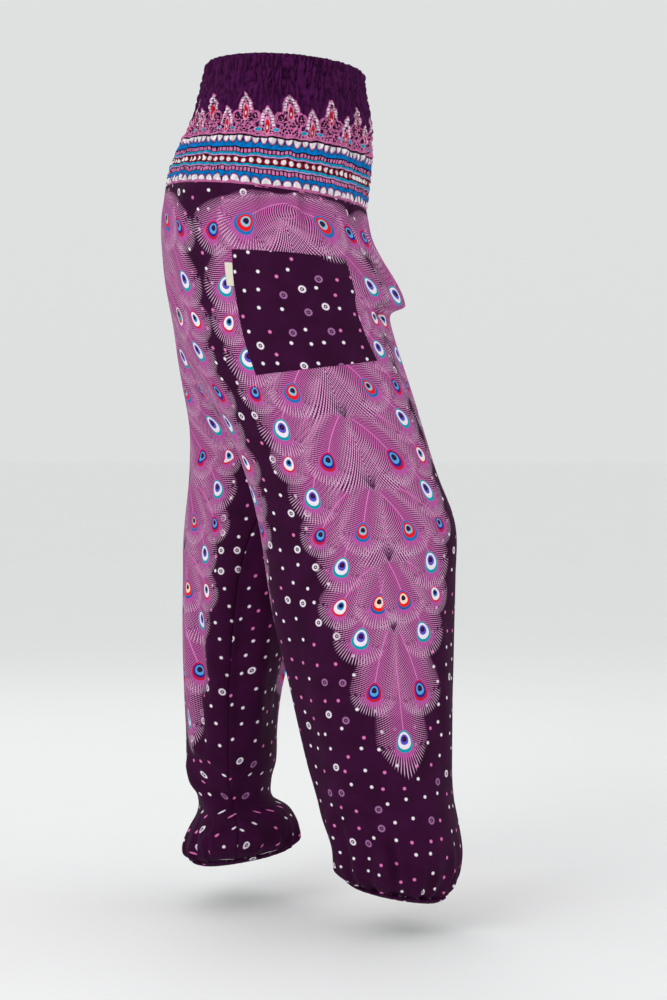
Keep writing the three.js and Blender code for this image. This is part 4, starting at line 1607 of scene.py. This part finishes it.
    def half_rounds(pitch, flat_at, radius, tallness, hanging):
        """Half-round beads that hang from, or stand on, a line, of uneven width."""
        cell = add(
            tree,
            "Math",
            add(
                tree,
                "Math",
                add(tree, "Math", around, pitch / 2, operation="ADD"),
                pitch,
                operation="DIVIDE",
            ),
            operation="FLOOR",
        )
        uneven_width = add(
            tree,
            "Math",
            add(tree, "Math", add(tree, "Math", cell, 2.4, operation="MULTIPLY"), operation="SINE"),
            0.14,
            1.0,
            operation="MULTIPLY_ADD",
        )
        x = add(tree, "Math", across(pitch, pitch / 2), uneven_width, operation="MULTIPLY")
        ends = (down, flat_at) if hanging else (flat_at, down)
        y = add(tree, "Math", *ends, operation="SUBTRACT")
        y_short = add(tree, "Math", y, tallness, operation="DIVIDE")
        far = add(
            tree,
            "Math",
            add(
                tree,
                "Math",
                add(tree, "Math", x, x, operation="MULTIPLY"),
                add(tree, "Math", y_short, y_short, operation="MULTIPLY"),
                operation="ADD",
            ),
            operation="SQRT",
        )
        ahead = add(tree, "Math", y, 0.0, operation="GREATER_THAN")
        for edge, code in ((radius + 0.6, NEARLY_BLACK), (radius, "#b877a8"), (radius - 1.0, "#f4eef4")):
            within = add(tree, "Math", far, edge, operation="LESS_THAN")
            inks.append((add(tree, "Math", ahead, within, operation="MULTIPLY"), code))

    def squares(pitch, low, high, code):
        """A row of squares, a third of the pitch apart."""
        on = add(
            tree,
            "Math",
            add(tree, "Math", across(pitch), operation="ABSOLUTE"),
            pitch * 0.33,
            operation="LESS_THAN",
        )
        inks.append((add(tree, "Math", on, between(down, low, high), operation="MULTIPLY"), code))

    # rows under the crowns, from the top down; the beads lie over the blue stripes
    inks.append((between(down, 100.5, 108.2), BLUE))
    half_rounds(9.5, 94.6, 4.5, 1.85, True)
    squares(4.6, 110.0, 114.2, SQUARE_PINK)
    inks.append((between(down, 115.2, 118.0), TURQUOISE))
    inks.append((between(down, 118.0, 119.4), LILAC))
    ring = add(
        tree,
        "Math",
        disc(across(RING_PITCH), add(tree, "Math", down, RING_LINE, operation="SUBTRACT"), 1.0, 1.08),
        operation="SQRT",
    )
    inks.append((between(down, 119.8, 128.8), "#2e0c22"))
    inks.append((add(tree, "Math", ring, 4.4, operation="LESS_THAN"), "#8c1428"))
    inks.append((add(tree, "Math", ring, 2.7, operation="LESS_THAN"), "#f6eef2"))
    inks.append((between(down, 129.2, 132.0), TURQUOISE))
    inks.append((between(down, 132.0, 133.2), LILAC))
    squares(4.6, 134.6, 139.4, SQUARE_PINK)
    inks.append((between(down, 140.4, 147.5), BLUE))
    half_rounds(12.0, 152.4, 5.6, 1.5, False)
    inks.append((between(down, 152.4, 156.5), RIM_PINK))

    for mask, code in inks:
        colour = add(tree, "Mix", {0: mask, 6: colour, 7: linear(code)}, pick=2, data_type="RGBA")

    # painted shade: the base colour is darkened in the creases between the crinkles, the more the deeper
    # they lie
    valley = add(tree, "Attribute", pick=2, attribute_name="valley")
    shade = add(tree, "MapRange", valley, 0.0, 1.0, 1.1, 0.4)
    colour = add(tree, "Mix", {0: 1.0, 6: colour, 7: shade}, pick=2, data_type="RGBA", blend_type="MULTIPLY")
    tree.links.new(colour, shader.inputs["Base Color"])
    squash = add(tree, "VectorMath", cloth, (0.42, 0.075, 1.0), operation="MULTIPLY")
    wrinkle = add(tree, "TexNoise", {"Vector": squash, "Scale": 1.0, "Detail": 4.0, "Roughness": 0.6})
    weave_bump(tree, shader, cloth, 0.6, add(tree, "Math", wrinkle, 6.0, operation="MULTIPLY"))
    return material


def woven_tape(name):
    """Cream cotton tape, plain woven: a dull face, with threads that stand out more than the viscose's."""
    material, tree, shader = new_material(name, 0.85)
    cloth = cloth_millimetres(tree)
    shade = add(tree, "TexNoise", {"Vector": cloth, "Scale": 0.5, "Detail": 4.0})
    colour = add(
        tree, "Mix", {0: shade, 6: linear("#d9d4bf"), 7: linear("#efebdc")}, pick=2, data_type="RGBA"
    )
    tree.links.new(colour, shader.inputs["Base Color"])
    weave_bump(tree, shader, cloth, 0.5)
    return material


feather_print = printed_viscose("viscose with the feather print", True)
pocket_print = printed_viscose("viscose with one plume tip on the dotted ground", False)
dotted = dotted_viscose("viscose with the dotted ground")
border = border_viscose("shirred viscose with the border print")
tape = woven_tape("woven cream tape")
for piece, material in (
    (right_leg, feather_print),
    (left_leg, feather_print),
    (pocket, pocket_print),
    (right_casing, dotted),
    (left_casing, dotted),
    (waistband, border),
    (tab, tape),
):
    piece.data.materials.append(material)

# Each piece hangs from the root, and the imported part that it stands for is hidden
for piece, node, slot in (
    (right_leg, "right_leg", "feather_print"),
    (left_leg, "left_leg", "feather_print"),
    (waistband, "waistband", "border_print"),
    (right_casing, "right_ankle_casing", "dotted_ground"),
    (left_casing, "left_ankle_casing", "dotted_ground"),
    (pocket, "side_pocket", "dotted_ground"),
    (tab, "pocket_tab", "cream_tape"),
):
    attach(piece, "root")
    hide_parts(node)

# Floor, lights and camera
FLOOR = -1.017


def make_floor():
    bm = bmesh.new()
    bmesh.ops.create_grid(bm, x_segments=1, y_segments=1, size=60.0)
    for vert in bm.verts:
        vert.co.z = FLOOR
    mesh = bpy.data.meshes.new("studio_floor")
    bm.to_mesh(mesh)
    bm.free()
    floor = bpy.data.objects.new("studio_floor", mesh)
    bpy.context.scene.collection.objects.link(floor)
    # matt white paint, rolled on: hardly any gloss, and a mottle that is only just there
    material = bpy.data.materials.new("painted studio floor")
    material.use_nodes = True
    tree = material.node_tree
    shader = next(n for n in tree.nodes if n.type == "BSDF_PRINCIPLED")
    shader.inputs["Roughness"].default_value = 0.7
    where = add(tree, "TexCoord", pick=3)
    grain = add(tree, "TexNoise", {"Vector": where, "Scale": 3.0, "Detail": 5.0})
    colour = add(
        tree, "Mix", {0: grain, 6: linear("#f6f6f6"), 7: linear("#f9f9f9")}, pick=2, data_type="RGBA"
    )
    tree.links.new(colour, shader.inputs["Base Color"])
    floor.data.materials.append(material)


make_floor()

world = bpy.data.worlds.new("soft studio")
bpy.context.scene.world = world
world.use_nodes = True
background = next(n for n in world.node_tree.nodes if n.type == "BACKGROUND")
background.inputs["Strength"].default_value = 1.0
way = add(world.node_tree, "TexCoord")
height = add(world.node_tree, "SeparateXYZ", way, pick=2)
rising = add(world.node_tree, "MapRange", height, 0.0, 0.6)
sky = add(
    world.node_tree, "Mix", {0: rising, 6: linear("#dee0e0"), 7: linear("#e2e4e4")}, pick=2, data_type="RGBA"
)
world.node_tree.links.new(sky, background.inputs["Color"])
bpy.context.scene.view_settings.view_transform = "Standard"  # colours as printed, not as on film


def add_light(name, place, aim, size, power):
    lamp = bpy.data.lights.new(name, "AREA")
    lamp.shape = "RECTANGLE"
    lamp.size, lamp.size_y = size
    lamp.energy = power
    light = bpy.data.objects.new(name, lamp)
    light.location = place
    light.rotation_euler = (Vector(aim) - Vector(place)).to_track_quat("-Z", "Y").to_euler()
    bpy.context.scene.collection.objects.link(light)


add_light("key softbox", (-2.4, 1.5, 1.3), (0, -0.05, -0.5), (1.6, 1.6), 26)
add_light("fill softbox", (-2.2, -2.2, 0.4), (0, 0, -0.5), (1.8, 1.8), 8)
add_light("back softbox", (2.2, 0.6, 1.3), (0, 0, -0.5), (1.6, 1.6), 9)

lens = bpy.data.cameras.new("camera")
lens.sensor_width = 36
lens.lens = 89.64
camera = bpy.data.objects.new("camera", lens)
camera.location = (-3.0, -0.0584, -0.443)
camera.rotation_euler = (math.radians(90 - 1.38), 0, math.radians(-90))
bpy.context.scene.collection.objects.link(camera)
bpy.context.scene.camera = camera
